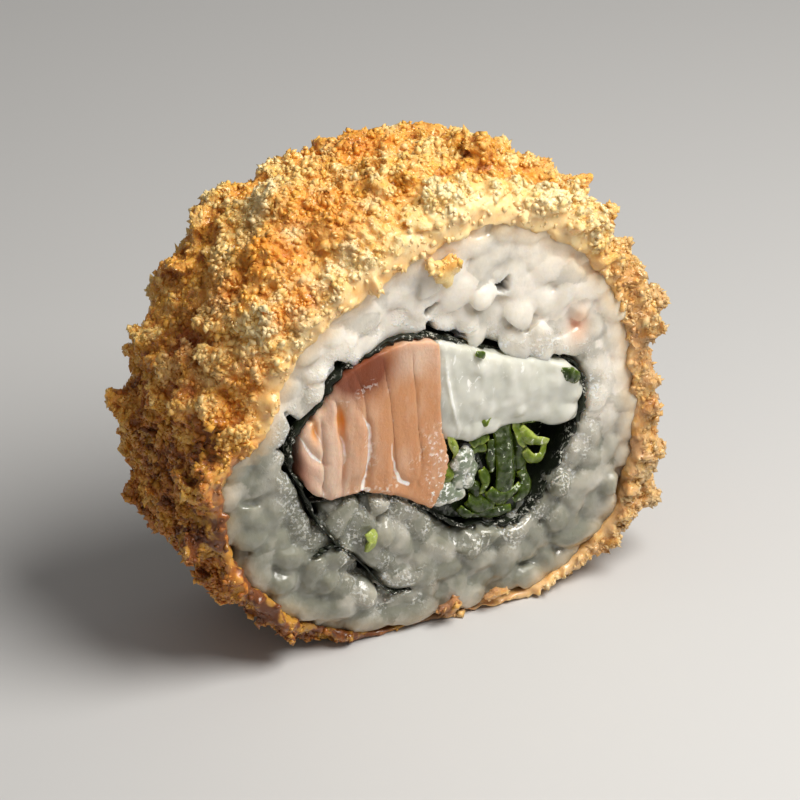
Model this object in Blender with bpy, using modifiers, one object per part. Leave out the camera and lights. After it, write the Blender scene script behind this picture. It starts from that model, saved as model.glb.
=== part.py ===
# Fried sushi roll: one thick slice, lying on its crust with a cut face to the front.
# Metres, +Z up. X runs across the cut face, Y along the roll, and the front cut is at -Y.
# The origin is on the flat spot that the roll rests on.

import math
import random

import bmesh
import bpy
import numpy as np
from mathutils import Euler, Matrix, Vector, noise

MM = 0.001

# The roll as a whole
CUT_Y = 9.0 * MM  # the cut faces are this far from the middle
CENTRE_X = -0.3 * MM
CENTRE_Z = 20.5 * MM  # the roll is widest at this height
HALF_WIDTH = 24.4 * MM
RISE = 25.4 * MM  # from the widest height to the top
DROP = 21.6 * MM  # to the bottom, before the floor flattens it
TOP_POWER = 2.25  # 2 is an ellipse, and more is squarer
BOTTOM_RIGHT_POWER = 3.0
BOTTOM_LEFT_POWER = 1.95
RICE_Y = 8.1 * MM  # half length of the pressed rice, without the grains on its cuts
# Sections, in mm along Y, where the crust meets the rice
SECTIONS = [-9.0, -8.1, -7.0, -5.4, -3.0, 4.0, 6.0, 7.2, 8.1, 9.0]
GAP = 0.3 * MM  # between neighbouring pieces
WELD = 0.001 * MM

# The fried crust
CRUST_THIN = 0.8 * MM  # at the lower left
CRUST_THICK = 2.4 * MM  # at the upper right
THICKEST_AT = 60.0  # degrees, 0 at +X and 90 on top
CRUST_MIN = 0.5 * MM
RIM_WITHIN = 0.9  # the blank's end faces start this share of the rice's radius out
SHOULDER_SHARE, SHOULDER_LEAST = 1.2, 1.0 * MM  # a shoulder's length, by its fold and at least
SHOULDER_ROUND = 0.97  # 1 would end square to the cut
AROUND = 80  # sides of the crust and of the rice
CRUST_ALONG = 9
CRAG_HEIGHT = 1.3 * MM
CRAG_SPACING = 4.2 * MM
CRAG_FINER = 2.1  # the second set of clumps is this much closer together
CRAG_SHIFT = (7, 3, 1)
CRAG_GAIN, CRAG_LEVEL = 1.2, 0.6  # so that the relief has crests near 1 and creases near -0.6
FRONT_FOLD = 4.6 * MM  # the crust folds this far over the front cut at the upper left
FRONT_FOLD_SPAN = (94.0, 168.0)
FRONT_FOLD_EASE = (42.0, 12.0)  # degrees over which it comes and goes
BACK_FOLD = 3.0 * MM
BACK_FOLD_SPAN = (20.0, 75.0)
BACK_FOLD_EASE = (25.0, 30.0)
EDGE_FOLD_THIN, EDGE_FOLD_THICK = 0.3 * MM, 0.9 * MM  # everywhere else
BARE_EDGE = 0.9 * MM  # the crust stops short of the front cut at the lower left
BARE_SPAN = (225.0, 272.0)
BARE_EASE = (15.0, 15.0)
FLAKES = 84
FLAKE_SMALL, FLAKE_LARGE = 1.5 * MM, 2.7 * MM
FLAKE_WIDE = (0.6, 0.9)  # shares of a flake's length
FLAKE_THICK = (0.45, 0.7)
FLAKE_SUNK = 0.35  # share of a flake's thickness that lies in the coat
FLAKE_WITHIN = 0.97  # flakes stay in this share of the roll's length
FLAKE_LEAN = 0.35  # radians, about two axes
FLAKE_OFF_FLOOR = 1.3  # a flake's middle is at least this many of its lengths up
FLAKE_STEP = 1.7  # between the places in the noise that shape two flakes
BARE_LEAST = 0.1 * MM
CRUST_SEED = 11

# Irregular lumps of 20 faces: crumbs, grains and bits of leaf
LUMP_UNEVEN = 0.28
LUMP_NOISE = 1.7

# The rice
GRAIN_HALF_WIDTH = 1.4 * MM
GRAIN_HALF_LENGTH = 2.9 * MM
GRAIN_BLUNT = 1.15  # a lump of 20 faces is made this much larger than the grain it stands for
GRAIN_SPACING = 3.0 * MM
GRAIN_TRIES = 2600
GRAIN_TILTS = 5  # tilts tried at a spot
GRAIN_SHARES = (1.0, 0.8, 0.55)  # lengths tried, longest first
GRAIN_LENGTHS = (0.9, 1.08)
GRAIN_HEIGHTS = (0.9, 1.05)
GRAIN_LEAN = 0.12  # radians out of the cut
GRAIN_PROBES = [(0, 0), (1, 0), (0.5, 0), (-0.5, 0), (-1, 0), (0, 1), (0, -1), (0, 0.5), (0, -0.5),
                (0.6, 0.75), (0.6, -0.75), (-0.6, 0.75), (-0.6, -0.75)]
TAIL_CLEAR = 0.95 * MM  # from a grain's probes to the middle of the seaweed's tail
GRAIN_CLEAR = 0.2 * MM
GRAIN_EDGE_CLEAR = 0.05 * MM
GRAIN_DEPTH = 7.8 * MM  # a grain's middle, so that about a millimetre stands proud
GRAIN_SHIFT = 0.25 * MM
RICE_SEED = 5

# The seaweed sheet's path on the cut, (x, z) in mm: under the salmon to the right, over
# the filling to the left, then down past its own start to the tail
NORI = 0.4 * MM
NORI_INNER = [(-12.4, 17.0), (-9.0, 17.0), (-5.6, 16.0), (-2.0, 13.7), (2.0, 10.4), (5.2, 9.5),
              (8.6, 8.9), (11.0, 10.6), (13.4, 14.2), (15.4, 18.0), (16.2, 21.2), (15.2, 24.6),
              (11.8, 26.4), (7.0, 28.0), (1.6, 30.8), (-3.4, 32.6), (-8.0, 31.8), (-10.9, 30.4),
              (-12.6, 28.0), (-15.2, 25.6), (-15.9, 22.4), (-14.7, 19.4)]
NORI_TAIL = [(-13.6, 16.4), (-11.6, 13.0), (-8.6, 9.6), (-6.6, 6.8), (-5.2, 5.1), (-3.0, 4.7)]
CURVE_STEPS = 3
TAIL_OVERLAP = 4  # points of the loop that the tail's course begins with

# Cutters reach this many times past the cuts
ROOM_REACH = 1.5
CRUST_ROOM_REACH = 3
BISECT_TOLERANCE = 1e-7

# The filling
SALMON_LEFT = -14.9 * MM
SALMON_EDGE = [(12.0, -1.2), (14.0, -0.7), (16.5, 0.3), (20.0, 0.75), (22.5, -0.3), (33.0, -0.4)]
SALMON_SEAMS = [-12.6, -10.6, -7.8, -5.2, -2.6]  # mm, where flakes part at mid height
SEAM_DEPTH = 0.55 * MM
SEAM_HALF_WIDTH = 0.35 * MM
SEAM_BOW = 1.0 * MM  # the seams curve to the left above and below
SEAM_MID_Z = 22.0 * MM
SEAM_BOW_Z = 8.0 * MM  # above and below the middle, where the seams have curved that far
STRAIGHT_Z = 25.0 * MM  # the height at which the salmon's right edge is measured
SALMON_ROWS = 6
SALMON_SHY = 0.35 * MM  # the salmon's edges stand back from the cut
SALMON_SWELL = 0.35 * MM
CHEESE_RIGHT = 15.2 * MM
CHEESE_BOTTOM = [(-1.0, 20.9), (1.8, 20.4), (4.0, 19.6), (6.0, 20.4), (8.5, 20.2), (10.5, 19.9),
                 (13.0, 19.0), (15.6, 18.4)]
CHEESE_COLUMNS, CHEESE_ROWS = 12, 6
CHEESE_SHY = 0.6 * MM
CHEESE_SWELL = 0.45 * MM
CHEESE_LUMP, CHEESE_LUMP_SPACING = 0.35 * MM, 3.2 * MM
SWELL_POWER = 3  # how square the swelling of a filling's cut is
GREENS_LEFT, GREENS_RIGHT = 0.6 * MM, 12.6 * MM
GREENS_Y = 7.7 * MM
GREENS_COLUMNS, GREENS_ROWS = 10, 4
GREENS_LUMP, GREENS_LUMP_SPACING = 0.3 * MM, 2.4 * MM
GREENS_NOISE_SHIFT = 4
POCKET_FROM = 9.6 * MM  # right of here the filling leaves a pocket at the cuts
POCKET_EASE = 1.2 * MM
POCKET_DEPTH = 3.6 * MM
# Pieces of green onion that show: (x, z, half length, half width, half thickness, tilt)
ONION_PIECES = [(7.4, 17.3, 3.4, 1.35, 0.9, 80), (8.6, 13.4, 2.7, 1.3, 0.9, 55),
                (5.0, 15.6, 2.2, 0.9, 0.8, 65), (3.6, 18.0, 1.9, 0.8, 0.7, -20),
                (2.3, 17.2, 2.0, 0.6, 0.6, 75), (5.2, 12.4, 2.3, 1.2, 0.8, 10),
                (10.6, 17.0, 1.6, 0.8, 0.6, -35), (2.9, 14.4, 1.5, 0.9, 0.8, 20),
                (8.0, 11.2, 2.3, 0.8, 0.7, 5), (6.4, 19.0, 1.4, 0.7, 0.6, 100)]
ONION_PROUD = 0.2 * MM
ONION_LEAN = 0.1  # radians

COLLECTION = "fried_sushi_roll"


def clear_scene():
    for old in list(bpy.data.objects):
        bpy.data.objects.remove(old, do_unlink=True)


def new_collection(name):
    group = bpy.data.collections.new(name)
    bpy.context.scene.collection.children.link(group)
    return group


def make_material(name, colour, roughness, metallic=0.0):
    material = bpy.data.materials.new(name)
    material.use_nodes = True
    shader = material.node_tree.nodes["Principled BSDF"]
    shader.inputs["Base Color"].default_value = (*colour, 1.0)
    shader.inputs["Roughness"].default_value = roughness
    shader.inputs["Metallic"].default_value = metallic
    return material


def object_from_bmesh(name, bm, group, material=None):
    mesh = bpy.data.meshes.new(name)
    bmesh.ops.recalc_face_normals(bm, faces=bm.faces)
    bm.to_mesh(mesh)
    bm.free()
    if material:
        mesh.materials.append(material)
    body = bpy.data.objects.new(name, mesh)
    group.objects.link(body)
    return body


def object_from_curve(curve_object, name, group, material=None):
    # A curve's evaluated form as a mesh object in its place, with its caps welded
    graph = bpy.context.evaluated_depsgraph_get()
    mesh = bpy.data.meshes.new_from_object(curve_object.evaluated_get(graph))
    bm = bmesh.new()
    bm.from_mesh(mesh)
    bm.transform(curve_object.matrix_world)
    bpy.data.meshes.remove(mesh)
    bmesh.ops.remove_doubles(bm, verts=bm.verts, dist=WELD)
    bpy.data.objects.remove(curve_object, do_unlink=True)
    return object_from_bmesh(name, bm, group, material)


def apply_boolean(body, operation, operands):
    modifier = body.modifiers.new(operation.lower(), "BOOLEAN")
    modifier.operation = operation
    modifier.operand_type = "COLLECTION"
    modifier.collection = operands
    modifier.solver = "EXACT"
    graph = bpy.context.evaluated_depsgraph_get()
    graph.update()
    result = bpy.data.meshes.new_from_object(body.evaluated_get(graph))
    body.modifiers.remove(modifier)
    old = body.data
    body.data = result
    bpy.data.meshes.remove(old)


def remove_group(group):
    for item in list(group.objects):
        bpy.data.objects.remove(item, do_unlink=True)
    bpy.data.collections.remove(group)


def retire_cutters(room, cutters):
    # Used cutters stay in the file, hidden
    for cutter in list(room.objects):
        cutter.hide_render = True
        cutter.display_type = "WIRE"
        cutters.objects.link(cutter)
        room.objects.unlink(cutter)
    bpy.data.collections.remove(room)


def shell_volume(faces):
    total = 0.0
    for face in faces:
        first = face.verts[0].co
        for a, b in zip(face.verts[1:-1], face.verts[2:]):
            total += first.dot(a.co.cross(b.co)) / 6.0
    return total


def keep_main_shell(body):
    # Drops loose scraps and fills sealed hollows, which are shells of their own
    bm = bmesh.new()
    bm.from_mesh(body.data)
    unseen = set(bm.faces)
    shells = []
    while unseen:
        shell = {unseen.pop()}
        edge_of_shell = list(shell)
        while edge_of_shell:
            face = edge_of_shell.pop()
            for edge in face.edges:
                for other in edge.link_faces:
                    if other in unseen:
                        unseen.discard(other)
                        shell.add(other)
                        edge_of_shell.append(other)
        shells.append(shell)
    main = max(shells, key=shell_volume)
    spare = [face for shell in shells if shell is not main for face in shell]
    bmesh.ops.delete(bm, geom=spare, context="FACES")
    bm.to_mesh(body.data)
    bm.free()


def smooth_line(points, steps):
    # A Catmull-Rom curve through the points, given in mm and returned in metres
    ends = [2 * Vector(points[0]) - Vector(points[1])]
    ends += [Vector(point) for point in points]
    ends += [2 * Vector(points[-1]) - Vector(points[-2])]
    line = []
    for a, b, c, d in zip(ends, ends[1:], ends[2:], ends[3:]):
        for step in range(steps):
            t = step / steps
            line.append(0.5 * (2 * b + (c - a) * t + (2 * a - 5 * b + 4 * c - d) * t * t
                               + (3 * b - a - 3 * c + d) * t ** 3) * MM)
    line.append(Vector(points[-1]) * MM)
    return line


def offset_loop(loop, distance):
    # The closed loop runs anticlockwise, and a positive distance grows it
    grown = []
    for before, here, after in zip(loop[-1:] + loop[:-1], loop, loop[1:] + loop[:1]):
        first = (here - before).normalized()
        second = (after - here).normalized()
        along = (first + second).normalized()
        outward = Vector((along.y, -along.x))
        grown.append(here + outward * distance / max(0.6, along.dot(first)))
    return grown


def inside(loop, x, z):
    odd = False
    for a, b in zip(loop, loop[1:] + loop[:1]):
        if (a.y > z) != (b.y > z) and x < a.x + (b.x - a.x) * (z - a.y) / (b.y - a.y):
            odd = not odd
    return odd


def heights_inside(loop, x):
    # Lowest and highest z of the loop at x
    found = []
    for a, b in zip(loop, loop[1:] + loop[:1]):
        if (a.x > x) != (b.x > x):
            found.append(a.y + (b.y - a.y) * (x - a.x) / (b.x - a.x))
    return min(found), max(found)


def distance_to_line(line, x, z):
    point = Vector((x, z))
    nearest = math.inf
    for a, b in zip(line, line[1:]):
        along = b - a
        t = min(1.0, max(0.0, (point - a).dot(along) / along.length_squared))
        nearest = min(nearest, (point - a - along * t).length)
    return nearest


def read_line(points, at):
    # Linear reading of a short list of (at, value) in mm
    places = [place for place, value in points]
    values = [value for place, value in points]
    return float(np.interp(at / MM, places, values)) * MM


def ease(t):
    t = min(1.0, max(0.0, t))
    return t * t * (3 - 2 * t)


def between(angle, span, easing):
    # 1 between the two angles of the span, in degrees, easing to 0 outside them
    degrees = math.degrees(angle) % 360.0
    return (ease((degrees - span[0]) / easing[0] + 0.5)
            * ease((span[1] - degrees) / easing[1] + 0.5))


def bare(angle, y):
    # How far the crust draws back from the front cut
    drawn = BARE_EDGE * between(angle, BARE_SPAN, BARE_EASE)
    return drawn * (y / CUT_Y) ** 2 if y < 0 else 0.0


def outline_radius(angle):
    # From the roll's centre line to the crust's mean outer surface
    across, up = math.cos(angle), math.sin(angle)
    if up > 0:
        power, reach = TOP_POWER, RISE
    elif across > 0:
        power, reach = BOTTOM_RIGHT_POWER, DROP
    else:
        power, reach = BOTTOM_LEFT_POWER, DROP
    return (abs(across / HALF_WIDTH) ** power + abs(up / reach) ** power) ** (-1 / power)


def coat_share(angle):
    # 1 where the coat is thickest and 0 across from there
    return 0.5 + 0.5 * math.cos(angle - math.radians(THICKEST_AT))


def fold_in(angle, y):
    # How far the shoulder at a cut has come in
    fold = EDGE_FOLD_THIN + (EDGE_FOLD_THICK - EDGE_FOLD_THIN) * coat_share(angle)
    if y < 0:
        fold += FRONT_FOLD * between(angle, FRONT_FOLD_SPAN, FRONT_FOLD_EASE)
    else:
        fold += BACK_FOLD * between(angle, BACK_FOLD_SPAN, BACK_FOLD_EASE)
    length = SHOULDER_SHARE * fold + SHOULDER_LEAST
    t = min(1.0, max(0.0, (abs(y) - (RICE_Y - length)) / length))
    return fold * (1 - math.sqrt(1 - SHOULDER_ROUND * t * t))


def crust_inner_radius(angle, y):
    thickness = CRUST_THIN + (CRUST_THICK - CRUST_THIN) * coat_share(angle)
    radius = outline_radius(angle) - fold_in(angle, y) - thickness
    down = -math.sin(angle)
    if down > 0:
        radius = min(radius, (CENTRE_Z - CRUST_MIN) / down)
    return radius


def rice_radius(angle, y):
    return crust_inner_radius(angle, y) - GAP


def on_section(angle, radius, y):
    return Vector((CENTRE_X + radius * math.cos(angle), y, CENTRE_Z + radius * math.sin(angle)))


def crag(angle, y):
    # Uneven relief of the crumb coat: rounded clumps with creases, from about -0.6 to 1
    place = on_section(angle, HALF_WIDTH, y) / CRAG_SPACING
    finer = place * CRAG_FINER + Vector(CRAG_SHIFT)
    clumps = 2 * abs(noise.noise(place)) + abs(noise.noise(finer))
    return CRAG_GAIN * clumps - CRAG_LEVEL


def loft_rings(bm, rings):
    # Rings of points, each joined to the next
    layers = [[bm.verts.new(point) for point in ring] for ring in rings]
    for low, high in zip(layers, layers[1:]):
        for i in range(len(low)):
            j = (i + 1) % len(low)
            bm.faces.new((low[i], low[j], high[j], high[i]))
    return layers


def crumb(bm, place, size, turn, seed_vector):
    # An irregular lump with 20 faces
    made = bmesh.ops.create_icosphere(bm, subdivisions=1, radius=1.0)
    for vert in made["verts"]:
        lump = 1.0 + LUMP_UNEVEN * noise.noise(vert.co * LUMP_NOISE + seed_vector)
        vert.co = place + turn @ Vector([c * s * lump for c, s in zip(vert.co, size)])


def add_lump(name, group, place, size, turn, seed_vector):
    bm = bmesh.new()
    crumb(bm, place, size, turn, seed_vector)
    object_from_bmesh(name, bm, group)


def crust_outer_radius(angle, y):
    radius = outline_radius(angle) - fold_in(angle, y) + CRAG_HEIGHT * crag(angle, y)
    return max(radius, crust_inner_radius(angle, y) + CRUST_MIN)


def capped_loft(rings):
    bm = bmesh.new()
    layers = loft_rings(bm, rings)
    bm.faces.new(layers[0])
    bm.faces.new(layers[-1])
    return bm


def build_breading(group, cutters, material):
    angles = [2 * math.pi * i / AROUND for i in range(AROUND)]
    stations = [CUT_Y * (2 * j / CRUST_ALONG - 1) for j in range(CRUST_ALONG + 1)]
    rings = []
    for y in stations:
        ring = []
        for angle in angles:
            point = on_section(angle, crust_outer_radius(angle, y), y + bare(angle, y))
            point.z = max(point.z, 0.0)
            ring.append(point)
        rings.append(ring)
    for y, place in ((-CUT_Y, 0), (CUT_Y, len(rings) + 1)):
        ring = [on_section(angle, RIM_WITHIN * crust_inner_radius(angle, y), y + bare(angle, y))
                for angle in angles]
        rings.insert(place, ring)
    body = object_from_bmesh("breading", capped_loft(rings), group, material)

    flakes = new_collection("crust_flakes")
    rng = random.Random(CRUST_SEED)
    for number in range(FLAKES):
        angle = rng.uniform(0, 2 * math.pi)
        y = rng.uniform(-1, 1) * CUT_Y * FLAKE_WITHIN
        big = rng.uniform(FLAKE_SMALL, FLAKE_LARGE)
        thick = big * rng.uniform(*FLAKE_THICK)
        place = on_section(angle, crust_outer_radius(angle, y) - FLAKE_SUNK * thick, y)
        size = (big, big * rng.uniform(*FLAKE_WIDE), thick)
        leans = [rng.gauss(0, FLAKE_LEAN), rng.gauss(0, FLAKE_LEAN)]
        lean = Euler([*leans, rng.uniform(0, 2 * math.pi)]).to_matrix()
        turn = Matrix.Rotation(math.pi / 2 - angle, 3, "Y") @ lean
        seed_vector = Vector((number * FLAKE_STEP, 0, 0))
        if place.z > FLAKE_OFF_FLOOR * big and bare(angle, -CUT_Y) < BARE_LEAST:
            add_lump(f"flake_{number}", flakes, place, size, turn, seed_vector)
    apply_boolean(body, "UNION", flakes)
    remove_group(flakes)

    # The room for the rice, which also trims the flakes
    rings = []
    ends = [CRUST_ROOM_REACH * SECTIONS[0], CRUST_ROOM_REACH * SECTIONS[-1]]
    for section in ends[:1] + SECTIONS + ends[1:]:
        y = section * MM
        rings.append([on_section(angle, crust_inner_radius(angle, y), y) for angle in angles])
    room = new_collection("rice_room")
    object_from_bmesh("crust_cutter", capped_loft(rings), room)
    apply_boolean(body, "DIFFERENCE", room)
    retire_cutters(room, cutters)
    keep_main_shell(body)
    return body


def grain_fits(x, z, tilt, half_length, limits):
    loop, tail = limits
    along = Vector((math.cos(tilt), math.sin(tilt)))
    across = Vector((-along.y, along.x))
    for a, b in GRAIN_PROBES:
        point = Vector((x, z)) + along * (a * half_length) + across * (b * GRAIN_HALF_WIDTH)
        out = point - Vector((CENTRE_X, CENTRE_Z))
        angle = math.atan2(out.y, out.x)
        reach = min(rice_radius(angle, CUT_Y), rice_radius(angle, -CUT_Y))
        if out.length > reach - GRAIN_EDGE_CLEAR or point.y < GAP:
            return False
        if inside(loop, point.x, point.y) or distance_to_line(tail, point.x, point.y) < TAIL_CLEAR:
            return False
    return True


def scatter_grains(rng, limits):
    # Middles and tilts of the grains on one cut, spread evenly over the rice that shows
    placed = []
    for attempt in range(GRAIN_TRIES):
        x = CENTRE_X + rng.uniform(-1, 1) * HALF_WIDTH
        z = CENTRE_Z + rng.uniform(-1, 1) * RISE
        if any((x - px) ** 2 + (z - pz) ** 2 < GRAIN_SPACING ** 2 for px, pz, tilt, length in placed):
            continue
        for share in GRAIN_SHARES:
            tilts = [rng.uniform(0, math.pi) for option in range(GRAIN_TILTS)]
            length = GRAIN_HALF_LENGTH * share * rng.uniform(*GRAIN_LENGTHS)
            fitting = [tilt for tilt in tilts if grain_fits(x, z, tilt, length, limits)]
            if fitting:
                placed.append((x, z, fitting[0], length))
                break
    return placed


def prism_from_loop(name, loop, half_depth, group):
    # A flat outline as a filled curve, extruded along Y
    curve = bpy.data.curves.new(name, "CURVE")
    curve.dimensions = "2D"
    curve.fill_mode = "BOTH"
    curve.extrude = half_depth
    spline = curve.splines.new("POLY")
    spline.points.add(len(loop) - 1)
    for point, place in zip(spline.points, loop):
        point.co = (place.x, place.y, 0, 1)
    spline.use_cyclic_u = True
    holder = bpy.data.objects.new(name + "_curve", curve)
    holder.rotation_euler = (math.pi / 2, 0, 0)
    group.objects.link(holder)
    bpy.context.view_layer.update()
    return object_from_curve(holder, name, group)


def ribbon_from_line(name, line, half_depth, thickness, group, material=None):
    # A sheet that follows the line on the cut and runs along Y
    curve = bpy.data.curves.new(name, "CURVE")
    curve.dimensions = "3D"
    curve.extrude = half_depth
    spline = curve.splines.new("POLY")
    spline.points.add(len(line) - 1)
    for point, place in zip(spline.points, line):
        point.co = (place.x, place.y, 0, 1)
    holder = bpy.data.objects.new(name + "_curve", curve)
    holder.rotation_euler = (math.pi / 2, 0, 0)
    group.objects.link(holder)
    bpy.context.view_layer.update()
    body = object_from_curve(holder, name, group, material)
    solid = body.modifiers.new("thickness", "SOLIDIFY")
    solid.thickness = thickness
    solid.offset = 0.0
    solid.use_even_offset = True
    return body


def build_rice(group, cutters, material, loop, tail):
    angles = [2 * math.pi * i / AROUND for i in range(AROUND)]
    rings = []
    for section in SECTIONS[1:-1]:
        y = section * MM
        rings.append([on_section(angle, rice_radius(angle, y), y) for angle in angles])
    body = object_from_bmesh("rice", capped_loft(rings), group, material)

    clear = NORI / 2 + GAP
    past_tail = tail + [tail[-1] + (tail[-1] - tail[-2]).normalized() * clear]
    room = new_collection("filling_room")
    prism_from_loop("filling_cutter", offset_loop(loop, clear), ROOM_REACH * CUT_Y, room)
    ribbon_from_line("tail_cutter", past_tail, ROOM_REACH * CUT_Y, 2 * clear, room)
    apply_boolean(body, "DIFFERENCE", room)
    retire_cutters(room, cutters)

    grains = new_collection("rice_grains")
    rng = random.Random(RICE_SEED)
    limits = (offset_loop(loop, clear + GRAIN_CLEAR), tail)
    for side in (-1, 1):
        for number, (x, z, tilt, length) in enumerate(scatter_grains(rng, limits)):
            depth = GRAIN_DEPTH + rng.uniform(-GRAIN_SHIFT, GRAIN_SHIFT)
            place = Vector((x, side * depth, z))
            width = GRAIN_BLUNT * GRAIN_HALF_WIDTH
            size = (GRAIN_BLUNT * length, width, width * rng.uniform(*GRAIN_HEIGHTS))
            lean = rng.uniform(-GRAIN_LEAN, GRAIN_LEAN)
            turn = Matrix.Rotation(-tilt, 3, "Y") @ Matrix.Rotation(lean, 3, "Z")
            add_lump(f"grain_{side}_{number}", grains, place, size, turn, Vector((number, side, 0)))
    apply_boolean(body, "UNION", grains)
    remove_group(grains)
    keep_main_shell(body)
    return body


def relief_block(name, group, material, columns, rows, place_point):
    # A box cut into a grid whose points place_point(u, v, end) moves, with end 0 or 1
    bm = bmesh.new()
    bmesh.ops.create_cube(bm, size=1.0)
    bmesh.ops.translate(bm, verts=bm.verts, vec=(0.5, 0.5, 0.5))
    for normal, cuts in (((1, 0, 0), columns[1:-1]), ((0, 0, 1), rows[1:-1])):
        for cut in cuts:
            everything = bm.verts[:] + bm.edges[:] + bm.faces[:]
            bmesh.ops.bisect_plane(bm, geom=everything, plane_co=Vector(normal) * cut,
                                   plane_no=normal, dist=BISECT_TOLERANCE)
    for vert in bm.verts:
        u, end, v = vert.co
        vert.co = place_point(u, v, round(end))
    bmesh.ops.triangulate(bm, faces=bm.faces)
    return object_from_bmesh(name, bm, group, material)


def swell(u, v):
    # 1 in the middle of a filling's cut and 0 at its edges
    return (1 - abs(2 * v - 1) ** SWELL_POWER) * (1 - abs(2 * u - 1) ** SWELL_POWER)


def salmon_edge(z):
    return read_line(SALMON_EDGE, z)


def seam_shift(z):
    return -SEAM_BOW * ((z - SEAM_MID_Z) / SEAM_BOW_Z) ** 2


def build_salmon(group, material, room):
    straight = salmon_edge(STRAIGHT_Z)
    span = straight - SALMON_LEFT
    seams = [(seam * MM - SALMON_LEFT) / span for seam in SALMON_SEAMS]
    half = SEAM_HALF_WIDTH / span
    columns = [0.0]
    for seam in seams:
        columns += [(columns[-1] + seam - half) / 2, seam - half, seam, seam + half]
    columns += [(columns[-1] + 1) / 2, 1.0]
    rows = [i / SALMON_ROWS for i in range(SALMON_ROWS + 1)]

    def place_point(u, v, end):
        x = SALMON_LEFT + span * u
        low, high = heights_inside(room, x)
        z = low + (high - low) * v
        x += u ** 3 * (salmon_edge(z) - straight) + 4 * u * (1 - u) * seam_shift(z)
        low, high = heights_inside(room, x)
        z = low + (high - low) * v
        nearest = min(abs(u - seam) for seam in seams)
        depth = SEAM_DEPTH * max(0.0, 1 - nearest / half) if 0 < v < 1 else 0.0
        y = CUT_Y - SALMON_SHY + SALMON_SWELL * swell(u, v) - depth
        return Vector((x, y if end else -y, z))

    return relief_block("salmon", group, material, columns, rows, place_point)


def build_cheese(group, material, room):
    columns = [i / CHEESE_COLUMNS for i in range(CHEESE_COLUMNS + 1)]
    rows = [i / CHEESE_ROWS for i in range(CHEESE_ROWS + 1)]
    straight = salmon_edge(STRAIGHT_Z)
    left = straight + GAP

    def place_point(u, v, end):
        x = left + (CHEESE_RIGHT - left) * u
        low, high = heights_inside(room, x)
        low = max(low, read_line(CHEESE_BOTTOM, x))
        z = low + (high - low) * v
        x += (1 - u) ** 6 * max(0.0, salmon_edge(z) - straight)
        low, high = heights_inside(room, x)
        low = max(low, read_line(CHEESE_BOTTOM, x))
        z = low + (high - low) * v
        lump = CHEESE_LUMP * noise.noise(Vector((x, z, end)) / CHEESE_LUMP_SPACING)
        y = CUT_Y - CHEESE_SHY + CHEESE_SWELL * swell(u, v) + lump
        return Vector((x, y if end else -y, z))

    return relief_block("cream_cheese", group, material, columns, rows, place_point)


def build_greens(group, material, room):
    columns = [i / GREENS_COLUMNS for i in range(GREENS_COLUMNS + 1)]
    rows = [i / GREENS_ROWS for i in range(GREENS_ROWS + 1)]

    def place_point(u, v, end):
        x = GREENS_LEFT + (GREENS_RIGHT - GREENS_LEFT) * u
        low, high = heights_inside(room, x)
        high = read_line(CHEESE_BOTTOM, x) - 1.5 * GAP
        z = low + (high - low) * v
        x += (1 - u) ** 4 * (salmon_edge(z) + 2 * GAP - GREENS_LEFT)
        low = heights_inside(room, x)[0]
        z = low + (high - low) * v
        spot = Vector((x, z, end + GREENS_NOISE_SHIFT)) / GREENS_LUMP_SPACING
        lump = GREENS_LUMP * noise.noise(spot)
        pocket = POCKET_DEPTH * ease((x - POCKET_FROM) / POCKET_EASE)
        y = GREENS_Y + lump - pocket
        return Vector((x, y if end else -y, z))

    body = relief_block("green_onion", group, material, columns, rows, place_point)
    pieces = new_collection("onion_pieces")
    for side in (-1, 1):
        for number, (x, z, length, width, thick, tilt) in enumerate(ONION_PIECES):
            size = (length * MM, thick * MM, width * MM)
            place = Vector((x * MM, side * (GREENS_Y + ONION_PROUD), z * MM))
            lean = Matrix.Rotation(ONION_LEAN * side, 3, "Z")
            turn = Matrix.Rotation(-math.radians(tilt), 3, "Y") @ lean
            add_lump(f"onion_{side}_{number}", pieces, place, size, turn, Vector((number, side, 5)))
    apply_boolean(body, "UNION", pieces)
    remove_group(pieces)
    keep_main_shell(body)
    return body


def main():
    clear_scene()
    parts = new_collection(COLLECTION)
    cutters = new_collection("cutters")

    loop = smooth_line(NORI_INNER, CURVE_STEPS)
    path = smooth_line(NORI_INNER + NORI_TAIL, CURVE_STEPS)
    tail = path[len(loop) - TAIL_OVERLAP:]
    room = offset_loop(loop, -(NORI / 2 + GAP))

    crumb_coat = make_material("fried_crumb", (0.72, 0.38, 0.10), 0.6)
    boiled_rice = make_material("boiled_rice", (0.78, 0.75, 0.68), 0.35)
    seaweed = make_material("seaweed", (0.02, 0.025, 0.012), 0.4)
    salmon_flesh = make_material("salmon_flesh", (0.72, 0.36, 0.20), 0.4)
    soft_cheese = make_material("soft_cheese", (0.85, 0.84, 0.78), 0.35)
    onion_leaf = make_material("onion_leaf", (0.10, 0.17, 0.03), 0.4)

    bodies = [
        build_breading(parts, cutters, crumb_coat),
        build_rice(parts, cutters, boiled_rice, loop, tail),
        ribbon_from_line("nori", path, CUT_Y, NORI, parts, seaweed),
        build_salmon(parts, salmon_flesh, room),
        build_cheese(parts, soft_cheese, room),
        build_greens(parts, onion_leaf, room),
    ]
    for body in bodies:
        body.data.shade_smooth()
        print(body.name, len(body.data.polygons))


main()
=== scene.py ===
import math

import bmesh
import bpy
import numpy as np
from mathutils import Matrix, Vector
from mathutils.bvhtree import BVHTree
from mathutils.kdtree import KDTree


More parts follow.
